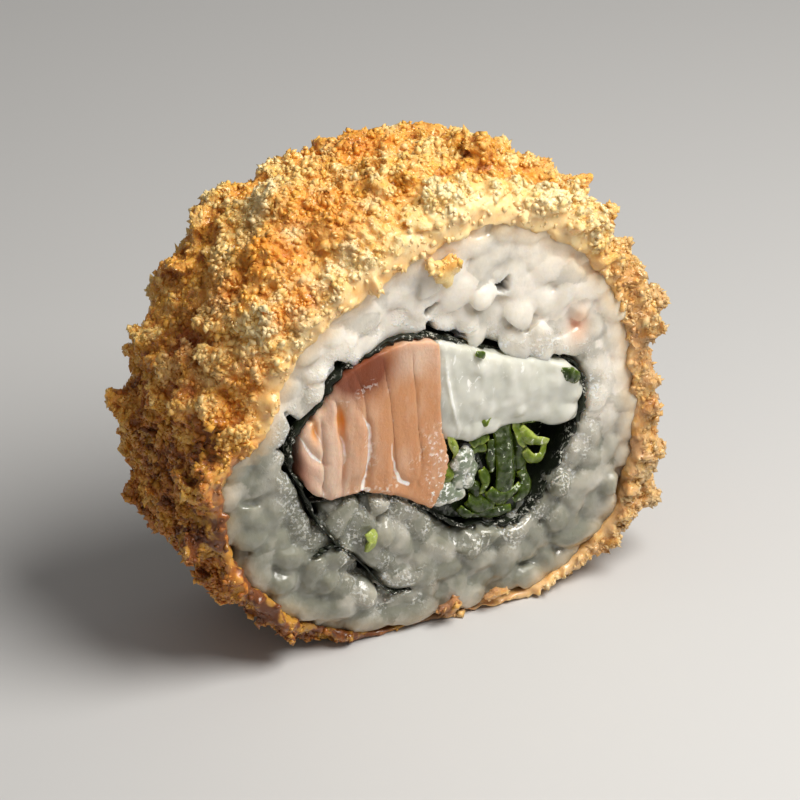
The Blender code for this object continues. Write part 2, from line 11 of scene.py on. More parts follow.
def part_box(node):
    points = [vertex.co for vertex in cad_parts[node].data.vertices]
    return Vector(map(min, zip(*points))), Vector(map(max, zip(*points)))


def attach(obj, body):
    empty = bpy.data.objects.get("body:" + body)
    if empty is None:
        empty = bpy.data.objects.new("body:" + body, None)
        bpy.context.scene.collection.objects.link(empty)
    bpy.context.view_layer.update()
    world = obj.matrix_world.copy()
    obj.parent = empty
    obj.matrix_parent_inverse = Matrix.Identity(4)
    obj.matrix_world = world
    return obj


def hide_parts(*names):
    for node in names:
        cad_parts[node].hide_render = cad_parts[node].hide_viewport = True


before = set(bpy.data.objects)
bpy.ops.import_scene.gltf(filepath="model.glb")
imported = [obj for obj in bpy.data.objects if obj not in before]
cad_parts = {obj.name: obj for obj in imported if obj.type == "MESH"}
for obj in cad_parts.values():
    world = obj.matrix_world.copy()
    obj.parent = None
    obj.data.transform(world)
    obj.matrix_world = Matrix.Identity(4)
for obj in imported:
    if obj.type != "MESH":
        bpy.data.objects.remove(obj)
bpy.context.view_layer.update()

# All shapes are worked out in millimetres and turned into metres when a piece is made.
mm = 0.001
print("frame loaded:", ", ".join(sorted(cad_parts)))

rollForm = {
    "centreX": -0.3, "centreZ": 20.5,
    "cutY": 9.0,  # the cut faces
    # the coat's inner wall is measured at so many angles, and in steps from the slice's middle to a cut
    "wallRows": 120, "wallColumns": 20, "wallStep": 0.45,
}


# Arrays and meshes

def scrambled(place, seed, channel):
    # a fixed pseudo-random number from 0 to 1 for each whole-number place
    key = (place[:, 0] * 73856093) ^ (place[:, 1] * 19349663) ^ (place[:, 2] * 83492791)
    mixed = (key ^ ((seed * 31 + channel) * 97531)) & 0xFFFFFFFF
    mixed = ((mixed ^ (mixed >> 15)) * 2246822519) & 0xFFFFFFFF
    mixed = ((mixed ^ (mixed >> 13)) * 3266489917) & 0xFFFFFFFF
    return ((mixed ^ (mixed >> 16)) & 0xFFFFF) / 1048575.0


def latticeNoise(points, seed=0):
    # gradient noise, about -1 to 1, one cell to a unit
    cell = np.floor(points).astype(np.int64)
    offset = points - cell
    fade = offset * offset * offset * (offset * (offset * 6 - 15) + 10)
    total = np.zeros(len(points))
    for corner in np.ndindex(2, 2, 2):
        corner = np.array(corner)
        value = np.zeros(len(points))
        for axis in range(3):
            slope = scrambled(cell + corner, seed, axis) * 2 - 1
            value += slope * (offset[:, axis] - corner[axis])
        total += np.prod(np.where(corner, fade, 1 - fade), axis=1) * value
    return total * 1.35


def cellBumps(points, seed=0):
    # a rounded bump in each uneven cell, 1 at its middle, and a height of its own for each cell
    cell = np.floor(points).astype(np.int64)
    nearest = np.full(len(points), 9.0)
    height = np.zeros(len(points))
    for corner in np.ndindex(3, 3, 3):
        place = cell + np.array(corner) - 1
        spot = np.stack([place[:, axis] + scrambled(place, seed, axis) for axis in range(3)], axis=1)
        far = np.sum((points - spot) ** 2, axis=1)
        closer = far < nearest
        nearest = np.where(closer, far, nearest)
        height = np.where(closer, scrambled(place, seed, 7), height)
    return 1 - np.minimum(1, nearest), height


def easeStep(values, low, high):
    t = np.clip((values - low) / (high - low), 0, 1)
    return t * t * (3 - 2 * t)


def unit(vectors):
    return vectors / np.linalg.norm(vectors, axis=-1, keepdims=True)


def nearCut(points, low, high):
    # 0 in the middle of the slice, 1 towards its two cuts
    return easeStep(np.abs(points[:, 1]), low, high)


def wanderAt(points, size, seed):
    # an uneven shift for each point
    return np.stack([latticeNoise(points / size, seed + axis) for axis in range(3)], axis=1)


def readArray(rows, name, width, kind=np.float32):
    flat = np.empty(len(rows) * width, kind)
    rows.foreach_get(name, flat)
    return flat.reshape(-1, width)


def meshFromArrays(name, points, faces):
    mesh = bpy.data.meshes.new(name)
    faces = np.asarray(faces, np.int32)
    mesh.vertices.add(len(points))
    mesh.vertices.foreach_set("co", np.asarray(points, np.float32).ravel())
    mesh.loops.add(faces.size)
    mesh.loops.foreach_set("vertex_index", faces.ravel())
    mesh.polygons.add(len(faces))
    mesh.polygons.foreach_set("loop_start", np.arange(len(faces), dtype=np.int32) * faces.shape[1])
    mesh.update(calc_edges=True)
    mesh.validate()
    return mesh


def pointsOf(mesh):
    return readArray(mesh.vertices, "co", 3).astype(float)


def normalsOf(mesh):
    return readArray(mesh.vertex_normals, "vector", 3).astype(float)


def trianglesOf(mesh):
    mesh.calc_loop_triangles()
    return readArray(mesh.loop_triangles, "vertices", 3, np.int32)


def setPoints(mesh, points):
    mesh.vertices.foreach_set("co", np.asarray(points, np.float32).ravel())
    mesh.update()


def setMark(mesh, name, values):
    # a value at each point, which the material reads by name
    mark = mesh.attributes.new(name, "FLOAT", "POINT")
    mark.data.foreach_set("value", np.asarray(values, np.float32))


def joinShapes(shapes):
    points, faces, start = [], [], 0
    for shapePoints, shapeFaces in shapes:
        points.append(shapePoints)
        faces.append(shapeFaces + start)
        start += len(shapePoints)
    return np.concatenate(points), np.concatenate(faces)


def placeInScene(name, data):
    made = bpy.data.objects.new(name, data)
    bpy.context.scene.collection.objects.link(made)
    return made


def modifiedMesh(holder):
    # a mesh with the holder's modifiers applied, in place of the holder and its own mesh
    graph = bpy.context.evaluated_depsgraph_get()
    mesh = bpy.data.meshes.new_from_object(holder.evaluated_get(graph))
    before = holder.data
    bpy.data.objects.remove(holder)
    bpy.data.meshes.remove(before)
    return mesh


def voxelSkin(points, faces, voxel, smoothing):
    # one continuous skin round shapes that overlap, made at millimetre scale
    rough = placeInScene("rough", meshFromArrays("rough", points, faces))
    remesh = rough.modifiers.new("remesh", "REMESH")
    remesh.mode = "VOXEL"
    remesh.voxel_size = voxel
    smooth = rough.modifiers.new("smooth", "SMOOTH")
    smooth.factor = 0.5
    smooth.iterations = smoothing
    return modifiedMesh(rough)


def thinHidden(mesh, hidden, keep):
    # fewer faces where nobody looks
    holder = placeInScene("holder", mesh)
    group = holder.vertex_groups.new(name="hidden")
    group.add(np.flatnonzero(hidden).tolist(), 1.0, "REPLACE")
    thin = holder.modifiers.new("thin", "DECIMATE")
    thin.vertex_group = "hidden"
    thin.vertex_group_factor = 1.0
    thin.ratio = 1 - (1 - keep) * np.count_nonzero(hidden) / len(mesh.vertices)
    return modifiedMesh(holder)


def hollows(mesh, rounds):
    # how far each point lies below (above 0) or above (below 0) the averaged skin round it
    points, normals = pointsOf(mesh), normalsOf(mesh)
    first, second = readArray(mesh.edges, "vertices", 2, np.int32).T
    size = len(points)
    count = np.maximum(1, np.bincount(first, minlength=size) + np.bincount(second, minlength=size))
    average = points
    for _ in range(rounds):
        sums = [np.bincount(first, along[second], size) + np.bincount(second, along[first], size)
                for along in average.T]
        average = np.stack(sums, axis=1) / count[:, None]
    return np.sum((average - points) * normals, axis=1)


def treeOf(places):
    tree = KDTree(len(places))
    for index, place in enumerate(places):
        tree.insert(place, index)
    tree.balance()
    return tree


def nodeShape(nodeName):
    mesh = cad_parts[nodeName].data
    return pointsOf(mesh) / mm, trianglesOf(mesh)


def addPiece(name, mesh, finish, nodes, smooth=True):
    # mesh is in millimetres
    setPoints(mesh, pointsOf(mesh) * mm)
    mesh.materials.append(finish)
    if smooth:
        mesh.shade_smooth()
    piece = placeInScene(name, mesh)
    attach(piece, "root")
    if nodes:
        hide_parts(*nodes)
    print(name, "has", len(mesh.polygons), "faces")


def slabFaces(rows, columns):
    # triangles for two like grids, one over the other, and the wall round them
    index = np.arange(rows * columns).reshape(rows, columns)
    top = np.stack([index[:-1, :-1], index[1:, :-1], index[1:, 1:], index[:-1, 1:]], axis=-1).reshape(-1, 4)
    under = top[:, ::-1] + rows * columns
    rim = np.concatenate([index[:, 0], index[-1, 1:], index[-2::-1, -1], index[0, -2:0:-1]])
    after = np.roll(rim, -1)
    wall = np.stack([after, rim, rim + rows * columns, after + rows * columns], axis=1)
    quads = np.concatenate([top, under, wall])
    return np.concatenate([quads[:, [0, 1, 2]], quads[:, [0, 2, 3]]])


def icoShape(subdivisions):
    bm = bmesh.new()
    bmesh.ops.create_icosphere(bm, subdivisions=subdivisions, radius=1.0)
    points = np.array([vert.co for vert in bm.verts])
    faces = np.array([[vert.index for vert in face.verts] for face in bm.faces])
    bm.free()
    return points, faces


def shardShape():
    # eight triangles
    points = np.array([(1, 0, 0), (-1, 0, 0), (0, 1, 0), (0, -1, 0), (0, 0, 1), (0, 0, -1)], float)
    faces = np.array([(0, 2, 4), (2, 1, 4), (1, 3, 4), (3, 0, 4),
                      (2, 0, 5), (1, 2, 5), (3, 1, 5), (0, 3, 5)])
    return points, faces


def turnsFrom(normals, rng, tilt):
    # an orthonormal frame for each normal, turned about it at random and then tilted
    count = len(normals)
    outward = unit(normals + rng.normal(size=(count, 3)) * tilt)
    side = rng.normal(size=(count, 3))
    side = unit(side - outward * np.sum(side * outward, axis=1, keepdims=True))
    return np.stack([side, np.cross(outward, side), outward], axis=2)


def uprightTurns(count):
    return np.tile(np.eye(3), (count, 1, 1))


def scatterLumps(template, places, turns, sizes, rng, jag=0.2, chips=0, chipReach=(0.3, 0.8)):
    # copies of a template at the places, each jagged and chipped in its own way
    points, faces = template
    count, corners = len(places), len(points)
    local = np.repeat(points[None], count, axis=0)
    local = local * (1 + jag * rng.normal(size=(count, corners, 1)))
    for _ in range(chips):
        facing = unit(rng.normal(size=(count, 1, 3)))
        reach = np.sum(local * facing, axis=2, keepdims=True)
        limit = rng.uniform(*chipReach, size=(count, 1, 1))
        local = local - facing * np.maximum(0, reach - limit)
    local = local * sizes[:, None, :]
    placed = np.einsum("nvj,nij->nvi", local, turns) + places[:, None, :]
    allFaces = faces[None] + (np.arange(count) * corners)[:, None, None]
    return placed.reshape(-1, 3), allFaces.reshape(-1, 3)


def surfaceSpots(points, faces, normals, weights, count, rng):
    # random spots on a mesh, by area and weight, with their smooth normals
    a, b, c = points[faces[:, 0]], points[faces[:, 1]], points[faces[:, 2]]
    area = np.linalg.norm(np.cross(b - a, c - a), axis=1) * weights
    chosen = rng.choice(len(faces), size=count, p=area / area.sum())
    first, second = rng.random((2, count, 1))
    flip = (first + second) > 1
    first, second = np.where(flip, 1 - first, first), np.where(flip, 1 - second, second)
    places = a[chosen] + (b[chosen] - a[chosen]) * first + (c[chosen] - a[chosen]) * second
    return places, unit(normals[faces[chosen]].mean(axis=1))


# Materials

class Socket:
    # a node's output that takes part in plain arithmetic
    def __init__(self, finish, out):
        self.finish, self.out = finish, out

    def maths(self, operation, *values):
        sockets = dict(enumerate(values))
        return self.finish.node("ShaderNodeMath", {"operation": operation}, sockets)

    def __add__(self, other): return self.maths("ADD", self, other)
    def __radd__(self, other): return self.maths("ADD", other, self)
    def __sub__(self, other): return self.maths("SUBTRACT", self, other)
    def __rsub__(self, other): return self.maths("SUBTRACT", other, self)
    def __mul__(self, other): return self.maths("MULTIPLY", self, other)
    def __rmul__(self, other): return self.maths("MULTIPLY", other, self)

    def between(self, low, high):
        # 0 below low, 1 above high, smooth between
        settings = {"interpolation_type": "SMOOTHSTEP"}
        return self.finish.node("ShaderNodeMapRange", settings, {0: self, 1: low, 2: high})


class Finish:
    # one material, built from its shader outwards
    def __init__(self, name):
        self.material = bpy.data.materials.new(name)
        self.material.use_nodes = True
        self.tree = self.material.node_tree
        self.shader = self.tree.nodes["Principled BSDF"]
        self.place = self.node("ShaderNodeTexCoord", output="Object")

    def node(self, kind, settings=None, sockets=None, output=0):
        made = self.tree.nodes.new(kind)
        for key, value in (settings or {}).items():
            if key == "stops":
                ramp = made.color_ramp
                while len(ramp.elements) < len(value):
                    ramp.elements.new(0.5)
                for element, (position, colour) in zip(ramp.elements, value):
                    element.position = position
                    element.color = (*colour, 1.0)
            else:
                setattr(made, key, value)
        for key, value in (sockets or {}).items():
            if isinstance(value, Socket):
                self.tree.links.new(value.out, made.inputs[key])
            else:
                made.inputs[key].default_value = value
        return Socket(self, made.outputs[output])

    def noise(self, size, detail=3.0, roughness=0.5, distortion=0.0, where=None):
        # a noise whose features are about this many millimetres wide
        sockets = {"Vector": where or self.place, "Scale": 1 / (size * mm), "Detail": detail,
                   "Roughness": roughness, "Distortion": distortion}
        return self.node("ShaderNodeTexNoise", None, sockets)

    def stretched(self, scale):
        return self.node("ShaderNodeVectorMath", {"operation": "MULTIPLY"}, {0: self.place, 1: scale})

    def cells(self, size):
        # a value for each of the uneven cells about this many millimetres wide
        settings = {"feature": "F1"}
        sockets = {"Vector": self.place, "Scale": 1 / (size * mm)}
        colour = self.node("ShaderNodeTexVoronoi", settings, sockets, output="Color")
        return self.node("ShaderNodeSeparateColor", None, {0: colour})

    def mark(self, name):
        settings = {"attribute_type": "GEOMETRY", "attribute_name": name}
        return self.node("ShaderNodeAttribute", settings, output="Fac")

    def ramp(self, factor, stops):
        return self.node("ShaderNodeValToRGB", {"stops": stops}, {0: factor})

    def blend(self, factor, first, second):
        settings = {"data_type": "RGBA", "clamp_factor": True}
        first = (*first, 1.0) if isinstance(first, tuple) else first
        second = (*second, 1.0) if isinstance(second, tuple) else second
        return self.node("ShaderNodeMix", settings, {0: factor, 6: first, 7: second}, output=2)

    def layered(self, colour, *layers):
        # each layer: how strong it is, and the colour it lays over those before it
        for strength, over in layers:
            colour = self.blend(strength, colour, over)
        return colour

    def bump(self, height, depth, strength=1.0):
        # depth in millimetres
        sockets = {"Height": height, "Distance": depth * mm, "Strength": strength}
        return self.node("ShaderNodeBump", None, sockets)

    def set(self, **values):
        # Base_Color and so on, to a value or a link
        for key, value in values.items():
            socket = self.shader.inputs[key.replace("_", " ")]
            if isinstance(value, Socket):
                self.tree.links.new(value.out, socket)
            else:
                socket.default_value = (*value, 1.0) if socket.type == "RGBA" else value
        return self.material


crumbLook = {
    "burnt": (0.18, 0.05, 0.007),
    "brown": (0.49, 0.16, 0.02),
    "orange": (0.78, 0.37, 0.06),
    "gold": (0.89, 0.54, 0.165),
    "pale": (0.95, 0.68, 0.29),
    "cream": (0.97, 0.77, 0.42),
    "scatter": (1.0, 0.9, 0.8),
    "butter": (0.88, 0.48, 0.055),
    "fold": (0.91, 0.63, 0.31),
    # painted shade: a darker, duller colour for the lower right of the coat
    "dull": (0.50, 0.31, 0.17),
    "amber": (0.80, 0.31, 0.025),
    "russet": (0.42, 0.075, 0.008),
    "scatterSize": 0.5,  # mm
}


def crumbFinish(name, scatter, roughDepth):
    finish = Finish(name)
    shade, dull, fold = finish.mark("shade"), finish.mark("dull"), finish.mark("fold")
    patches = (finish.noise(5.0, 3.0, 0.5) - 0.5) * 0.6 + (finish.noise(1.8, 2.0) - 0.5) * 0.35
    tone = finish.mark("tone") + patches + (finish.noise(0.4, 3.0, 0.6) - 0.5) * 0.14
    # lighter where the coat is thin at the upper front, partly painted light on top; painted shade darker
    # towards the lower left
    tone = tone + finish.mark("pale") * 0.42 - shade * (0.36 + shade * 0.16)
    stops = {"burnt": 0.0, "brown": 0.2, "orange": 0.4, "gold": 0.6, "pale": 0.82, "cream": 1.0}
    butter = finish.noise(1.4, 2.0, where=finish.stretched((1.0, 1.3, 0.8))).between(0.50, 0.62)
    uneven = finish.noise(1.2, 2.0).between(0.35, 0.55)
    colour = finish.layered(
        finish.ramp(tone, [(place, crumbLook[name]) for name, place in stops.items()]),
        (butter * 0.45, crumbLook["butter"]),
        (finish.mark("ambers") * (uneven * 0.4 + 0.6), crumbLook["amber"]),
        (finish.mark("russets") * 0.8, crumbLook["russet"]),
        (finish.mark("creams") * 0.8, crumbLook["cream"]),
        # painted shade on the lower right
        (dull * (0.28 + uneven * 0.35), crumbLook["dull"]),
        (fold * (1 - shade) * (0.45 + uneven * 0.4) * (1 - dull * 0.5), crumbLook["fold"]))
    oil = finish.noise(0.9, 3.0).between(0.42, 0.60)
    grain = (finish.noise(0.28, 5.0, 0.7) + finish.cells(0.4) * 0.25) * (1 - fold * 0.8)
    return finish.set(
        Base_Color=colour, Roughness=0.52 - oil * 0.25, Subsurface_Weight=scatter,
        Subsurface_Radius=crumbLook["scatter"], Subsurface_Scale=crumbLook["scatterSize"] * mm,
        Coat_Weight=oil * 0.55, Coat_Roughness=0.10,
        Normal=finish.bump(grain, roughDepth, 0.8))


# Crust

crust = {
    "underVoxel": 0.5, "underSmoothing": 4, "voxel": 0.27, "smoothing": 1,
    "shrink": 0.35,  # the coat sits this much inside the solid, and its crumbs stand out to it
    "edgeY": 10.3,
    "sideX": (-27.6, 27.4),  # nothing reaches further left or right
    "ledge": 3.6, "ledgeRise": 1.7,  # clumps this far apart, at heights that differ by up to this
    # flakes: how many, how large, thickness for size, how far out, how uneven, how often cut, how tilted
    "coarse": (460, (0.9, 2.6), (0.35, 0.6), 0.2, 0.18, 6, 0.7),
    "small": (5200, (0.28, 0.75), (0.4, 0.8), 0.5, 0.3, 2, 1.0),
    "fine": (18000, (0.12, 0.62), (0.35, 0.7), 0.15, 0.22, 0, 0.8),
    # places of another colour: x, y, z, radius
    "ambers": [(-15.0, -3.9, 42.4, 3.4), (-9.2, -3.5, 45.3, 4.0), (-20.2, -7.6, 32.4, 2.6),
               (-20.4, -6.5, 29.0, 2.4), (-19.2, -2.3, 38.4, 2.8), (-13.9, -7.6, 39.0, 1.9),
               (-16.2, -7.6, 37.8, 1.5), (-1.2, 5.0, 46.6, 4.0)],
    "russets": [(-14.4, -4.3, 41.8, 0.65), (-18.8, -2.3, 38.0, 1.2), (-22.3, -0.6, 32.7, 2.4),
                (-22.5, -2.0, 29.5, 2.4), (-16.7, -5.9, 38.5, 0.6), (-1.5, 5.0, 46.3, 0.9)],
    "creams": [(-12.8, -3.1, 43.8, 1.1), (-5.0, -4.5, 45.4, 0.8)],
    # bits of crumb on the front cut: x, z, width, height
    "strays": [(0.2, 39.2, 1.9, 1.6), (1.0, 2.0, 1.3, 1.0), (6.0, 1.7, 1.2, 0.9)],
    "strayY": -9.2, "strayLumps": 9,
    "seed": 21,
}


def aboutAxis(points):
    # distance from the roll's centre line and the outward directions
    out = points - np.array([rollForm["centreX"], 0, rollForm["centreZ"]])
    out[:, 1] = 0
    radius = np.linalg.norm(out, axis=1)
    return radius, out / np.maximum(radius, 1e-6)[:, None]


def crustWall():
    # radius of the coat's inner wall, by angle about the centre line and by distance from the middle
    tree = BVHTree.FromPolygons(*[part.tolist() for part in nodeShape("breading")])
    wall = np.zeros((rollForm["wallRows"], rollForm["wallColumns"]))
    for row, column in np.ndindex(*wall.shape):
        angle = row / rollForm["wallRows"] * 2 * math.pi
        origin = Vector((rollForm["centreX"], column * -rollForm["wallStep"], rollForm["centreZ"]))
        hit = tree.ray_cast(origin, Vector((math.cos(angle), 0, math.sin(angle))))
        wall[row, column] = hit[3] if hit[0] else wall[row, column - 1]
    return wall


innerWall = crustWall()


def wallColumn(y):
    return np.minimum(rollForm["wallColumns"] - 1, np.abs(y) / rollForm["wallStep"]).astype(int)


def beyondWall(points, column=-2):
    # how far each point lies outside the inner wall as it is in that column, or else next to the cut
    radius, outward = aboutAxis(points)
    angle = np.arctan2(outward[:, 2], outward[:, 0]) % (2 * math.pi)
    row = (angle / (2 * math.pi) * len(innerWall)).astype(int) % len(innerWall)
    return radius - innerWall[row, column]


def foldMark(points):
    # 1 where the coat runs out over the rice on a cut, fading further out; widest at the top
    away = beyondWall(points)
    outward = aboutAxis(points)[1]
    reach = 2.8 + 1.0 * easeStep(outward[:, 2], 0.7, 0.98) - 2.0 * easeStep(outward[:, 0], 0.6, 0.9)
    reach += 1.3 * latticeNoise(points / 1.7, 71)
    return easeStep(reach - away, 0, 2.2) * easeStep(away, -1.8, -0.6) * nearCut(points, 4, 7)


def strayMark(points):
    # 1 on crumb that lies on the cut well inside the coat
    return easeStep(-beyondWall(points), 2.0, 3.0) * nearCut(points, 7.5, 8.5)


def paleThinAndLit(points):
    # the coat is thin and pale where it runs out over the rice at the upper front, and painted lighter on
    # top as light from above
    radius, outward = aboutAxis(points)
    nearFront = easeStep(-points[:, 1] + 1.2 * latticeNoise(points / 3.0, 31), 2.5, 9.5)
    above = easeStep(outward[:, 2] - 0.15 * outward[:, 0], 0.3, 1.0)
    return nearFront * above * easeStep(radius, 20.2, 21.5)


def spotMark(points, x, z, halfWidth, halfHeight):
    return np.exp(-((points[:, 0] - x) / halfWidth) ** 2 - ((points[:, 2] - z) / halfHeight) ** 2)


def ballMark(points, x, y, z, radius):
    return np.exp(-np.sum((points - np.array([x, y, z])) ** 2, axis=1) / radius ** 2)


def showing(points, normals):
    # 1 on the outside and the rims of the coat, 0 on the wall against the rice and underneath
    facing = np.sum(normals * aboutAxis(points)[1], axis=1)
    resting = easeStep(-normals[:, 2], 0.5, 0.9) * (points[:, 2] < 0.6)
    return easeStep(facing + 0.75 * np.abs(normals[:, 1]), -0.1, 0.45) * (1 - resting)


def makeCrumbs(base, kind, template, rng):
    count, (least, most), thick, rise, jag, chips, tilt = crust[kind]
    points, normals, faces = pointsOf(base), normalsOf(base), trianglesOf(base)
    bare = (1 - 0.65 * foldMark(points)) * (1 - strayMark(points))
    bare *= 0.5 + 0.5 * easeStep(ledges(points), 0.3, 0.6)
    weights = (showing(points, normals) ** 2 * bare)[faces].mean(axis=1)
    places, facing = surfaceSpots(points, faces, normals, weights, count, rng)
    size = least + (most - least) * rng.random(count) ** 2
    sizes = np.stack([size, size * rng.uniform(0.5, 0.9, count), size * rng.uniform(*thick, count)], axis=1)
    turns = turnsFrom(facing, rng, tilt)
    places = places + facing * (sizes[:, 2:3] * rise)
    room = size * 0.8
    left, right = crust["sideX"]
    places[:, 0] = np.clip(places[:, 0], left + room, right - room)
    places[:, 1] = np.clip(places[:, 1], room - crust["edgeY"], crust["edgeY"] - room)
    places[:, 2] = np.maximum(places[:, 2], 0.4 * size)
    crumbPoints, crumbFaces = scatterLumps(template, places, turns, sizes, rng, jag, chips)
    return crumbPoints, crumbFaces, places


def markCrumbs(mesh, tone, shown):
    points = pointsOf(mesh)
    outward = aboutAxis(points)[1]
    setMark(mesh, "tone", tone)
    # lighter at the upper front: a thin coat there, and painted light on top
    setMark(mesh, "pale", paleThinAndLit(points) * shown)
    # painted shade: darker towards the lower left, and darker and duller towards the lower right
    setMark(mesh, "shade", easeStep(-0.75 * outward[:, 0] - 0.65 * outward[:, 2], 0.1, 0.9))
    setMark(mesh, "dull", easeStep(outward[:, 0] - 0.5 * outward[:, 2], 0.1, 0.9))
    setMark(mesh, "fold", foldMark(points))
    for name in ("ambers", "russets", "creams"):
        setMark(mesh, name, np.max([ballMark(points, *spot) for spot in crust[name]], axis=0))


def nearestTone(points, places, tones):
    tree = treeOf(places)
    return np.array([tones[tree.find(point)[1]] for point in points])


def ledges(points):
    # uneven flat-topped clumps, from 0 to 1
    warped = points + 1.1 * wanderAt(points, 1.6, 61)
    bumps, height = cellBumps(warped / crust["ledge"] * np.array([1, 0.8, 1]), 9)
    return np.clip(height * (0.75 + 0.25 * bumps) + 0.15 * latticeNoise(points / 2.0, 64), 0, 1)


def strayShape(x, z, width, height, rng):
    count = crust["strayLumps"]
    spots = rng.normal(size=(count, 3)) * np.array([width, 0.2, height]) * 0.36
    spots = np.array([x, crust["strayY"], z]) + spots
    sizes = np.array([width, height, 0.9]) * rng.uniform(0.4, 0.6, (count, 1))
    turns = turnsFrom(np.tile([0, -1.0, 0], (count, 1)), rng, 0.15)
    return scatterLumps(icoShape(2), spots, turns, sizes, rng, 0.08)


def clumpedCoat(rng):
    # one skin round the swollen coat and its flakes, and where the coarse flakes are
    under = voxelSkin(*nodeShape("breading"), crust["underVoxel"], crust["underSmoothing"])
    points, normals = pointsOf(under), normalsOf(under)
    swell = np.maximum(crust["ledgeRise"] * (ledges(points) - 0.45) - crust["shrink"], -0.4)
    push = swell * showing(points, normals) * (1 - 0.8 * foldMark(points))
    setPoints(under, points + normals * push[:, None])
    *coarse, places = makeCrumbs(under, "coarse", icoShape(2), rng)
    *small, _ = makeCrumbs(under, "small", icoShape(1), rng)
    shapes = [(pointsOf(under), trianglesOf(under)), coarse, small]
    shapes += [strayShape(*stray, rng) for stray in crust["strays"]]
    return voxelSkin(*joinShapes(shapes), crust["voxel"], crust["smoothing"]), places


def makeCrust(rng):
    mesh, places = clumpedCoat(rng)
    points, normals = pointsOf(mesh), normalsOf(mesh)
    shown = showing(points, normals)
    warp = points + 0.3 * wanderAt(points, 0.8, 41)
    beyond, outward = beyondWall(points), aboutAxis(points)[1]
    lip = easeStep(2.0 - beyond, 0, 1.6) * nearCut(points, 7.4, 8.2) * easeStep(beyond, -1.8, -0.6)
    nibble = 0.15 - 0.95 * np.abs(latticeNoise(points / 2.4, 44))
    nibble -= 0.5 * np.abs(latticeNoise(points / 1.0, 45))
    points = points + outward * (lip * nibble)[:, None]
    knobs, plates = cellBumps(warp / 0.8, 3)
    grit, chips = cellBumps(warp / 0.42, 4)
    relief = 0.10 * (knobs - 0.62) + 0.24 * (plates - 0.5) + 0.10 * (grit - 0.6) + 0.24 * (chips - 0.5)
    fold = foldMark(points)
    rough = easeStep(ledges(points), 0.25, 0.6)
    stray = strayMark(points)
    relief *= (0.6 + 0.4 * rough) * (1 - 0.6 * fold) * (1 - 0.9 * stray)
    points = points + normals * (shown * relief)[:, None]
    points[:, 0] = np.clip(points[:, 0], *crust["sideX"])
    points[:, 1] = np.clip(points[:, 1], -crust["edgeY"] - 0.3, crust["edgeY"] + 0.3)
    points[:, 2] = np.maximum(points[:, 2], 0.0)
    setPoints(mesh, points)
    tones = rng.normal(0.0, 0.07, len(places))
    # painted shade: the tone drops in the hollows between crumbs
    tone = 0.55 - np.clip(hollows(mesh, 14) * 0.4, -0.12, 0.20) + 0.06 * (plates - 0.5)
    tone += 0.27 * (rough - 0.55)
    tone = shown * (tone + nearestTone(points, places, tones)) + (1 - shown) * 0.36
    tone += stray * (0.8 - tone)
    markCrumbs(mesh, tone, shown)
    mesh = thinHidden(mesh, shown < 0.02, 0.1)
    # crumb is faceted, the run-out over the rice and the bits on the cut are smooth
    points = pointsOf(mesh)
    soft = np.maximum(foldMark(points), strayMark(points)) > 0.4
    starts = readArray(mesh.polygons, "loop_start", 1, np.int32)[:, 0]
    corners = readArray(mesh.loops, "vertex_index", 1, np.int32)[:, 0]
    mesh.polygons.foreach_set("use_smooth", soft[corners[starts]])
    return mesh


def makeFineCrumbs(base, rng):
    points, faces, places = makeCrumbs(base, "fine", shardShape(), rng)
    points[:, 0] = np.clip(points[:, 0], *crust["sideX"])
    points[:, 2] = np.maximum(points[:, 2], 0)
    mesh = meshFromArrays("fineCrumbs", points, faces)
    baseTones = readArray(base.attributes["tone"].data, "value", 1)[:, 0]
    tones = nearestTone(places, pointsOf(base), baseTones) + rng.normal(0.02, 0.04, len(places))
    markCrumbs(mesh, np.repeat(tones, len(points) // len(places)), 1)
    return mesh


crustRandom = np.random.default_rng(crust["seed"])
coatMesh = makeCrust(crustRandom)
fineMesh = makeFineCrumbs(coatMesh, crustRandom)
addPiece("crumbCoat", coatMesh, crumbFinish("crumbCoat", 0.7, 0.16), ["breading"], False)
addPiece("fineCrumbs", fineMesh, crumbFinish("fineCrumbs", 0.25, 0.05), (), False)


# Rice

rice = {
    "voxel": 0.265, "smoothing": 2,
    "coreY": 4.8,
    "coreSwell": 0.4,  # out to the crust
    "attempts": 9000,
    # grains in two layers: how far apart, half width, half length, and how deep a grain's middle lies
    "layers": [
        {"spacing": 2.1, "halfWidth": (1.5, 1.8), "halfLength": (2.2, 3.0), "depth": (6.0, 6.6)},
        {"spacing": 2.05, "halfWidth": (1.3, 1.65), "halfLength": (2.2, 3.1), "depth": (7.3, 8.1)},
    ],
    "cutY": 8.25, "flattened": 0.38,  # heights on the cut are pressed to this share about cutY
    # clefts between the grains, sunk in and painted dark as shadow: root x, z, tip x, z, half width at the
    # root
    "clefts": [(-14.6, 25.6, -16.3, 28.1, 0.75), (-15.3, 23.3, -17.4, 24.6, 0.7),
               (-10.0, 31.0, -11.2, 32.3, 0.6), (-1.5, 32.0, 3.2, 30.9, 0.55),
               (-0.4, 32.4, -0.9, 33.4, 0.4), (6.9, 35.3, 7.5, 36.5, 0.5),
               (7.0, 35.3, 6.2, 35.7, 0.35), (-0.9, 34.5, 0.2, 35.1, 0.4)],
    "cleftDepth": 2.2,
    "seed": 8,
}
riceLook = {
    "white": (0.85, 0.79, 0.70),
    "grey": (0.23, 0.23, 0.18),
    # painted shade colour for creases and recesses
    "deep": (0.34, 0.34, 0.30),
    "glintWhite": (0.97, 0.97, 0.93),
    # painted shadow colour inside the clefts
    "dark": (0.02, 0.02, 0.012),
    "warm": (0.86, 0.66, 0.42),
    "stain": (0.82, 0.56, 0.30),
    "peach": (0.84, 0.47, 0.28),
}


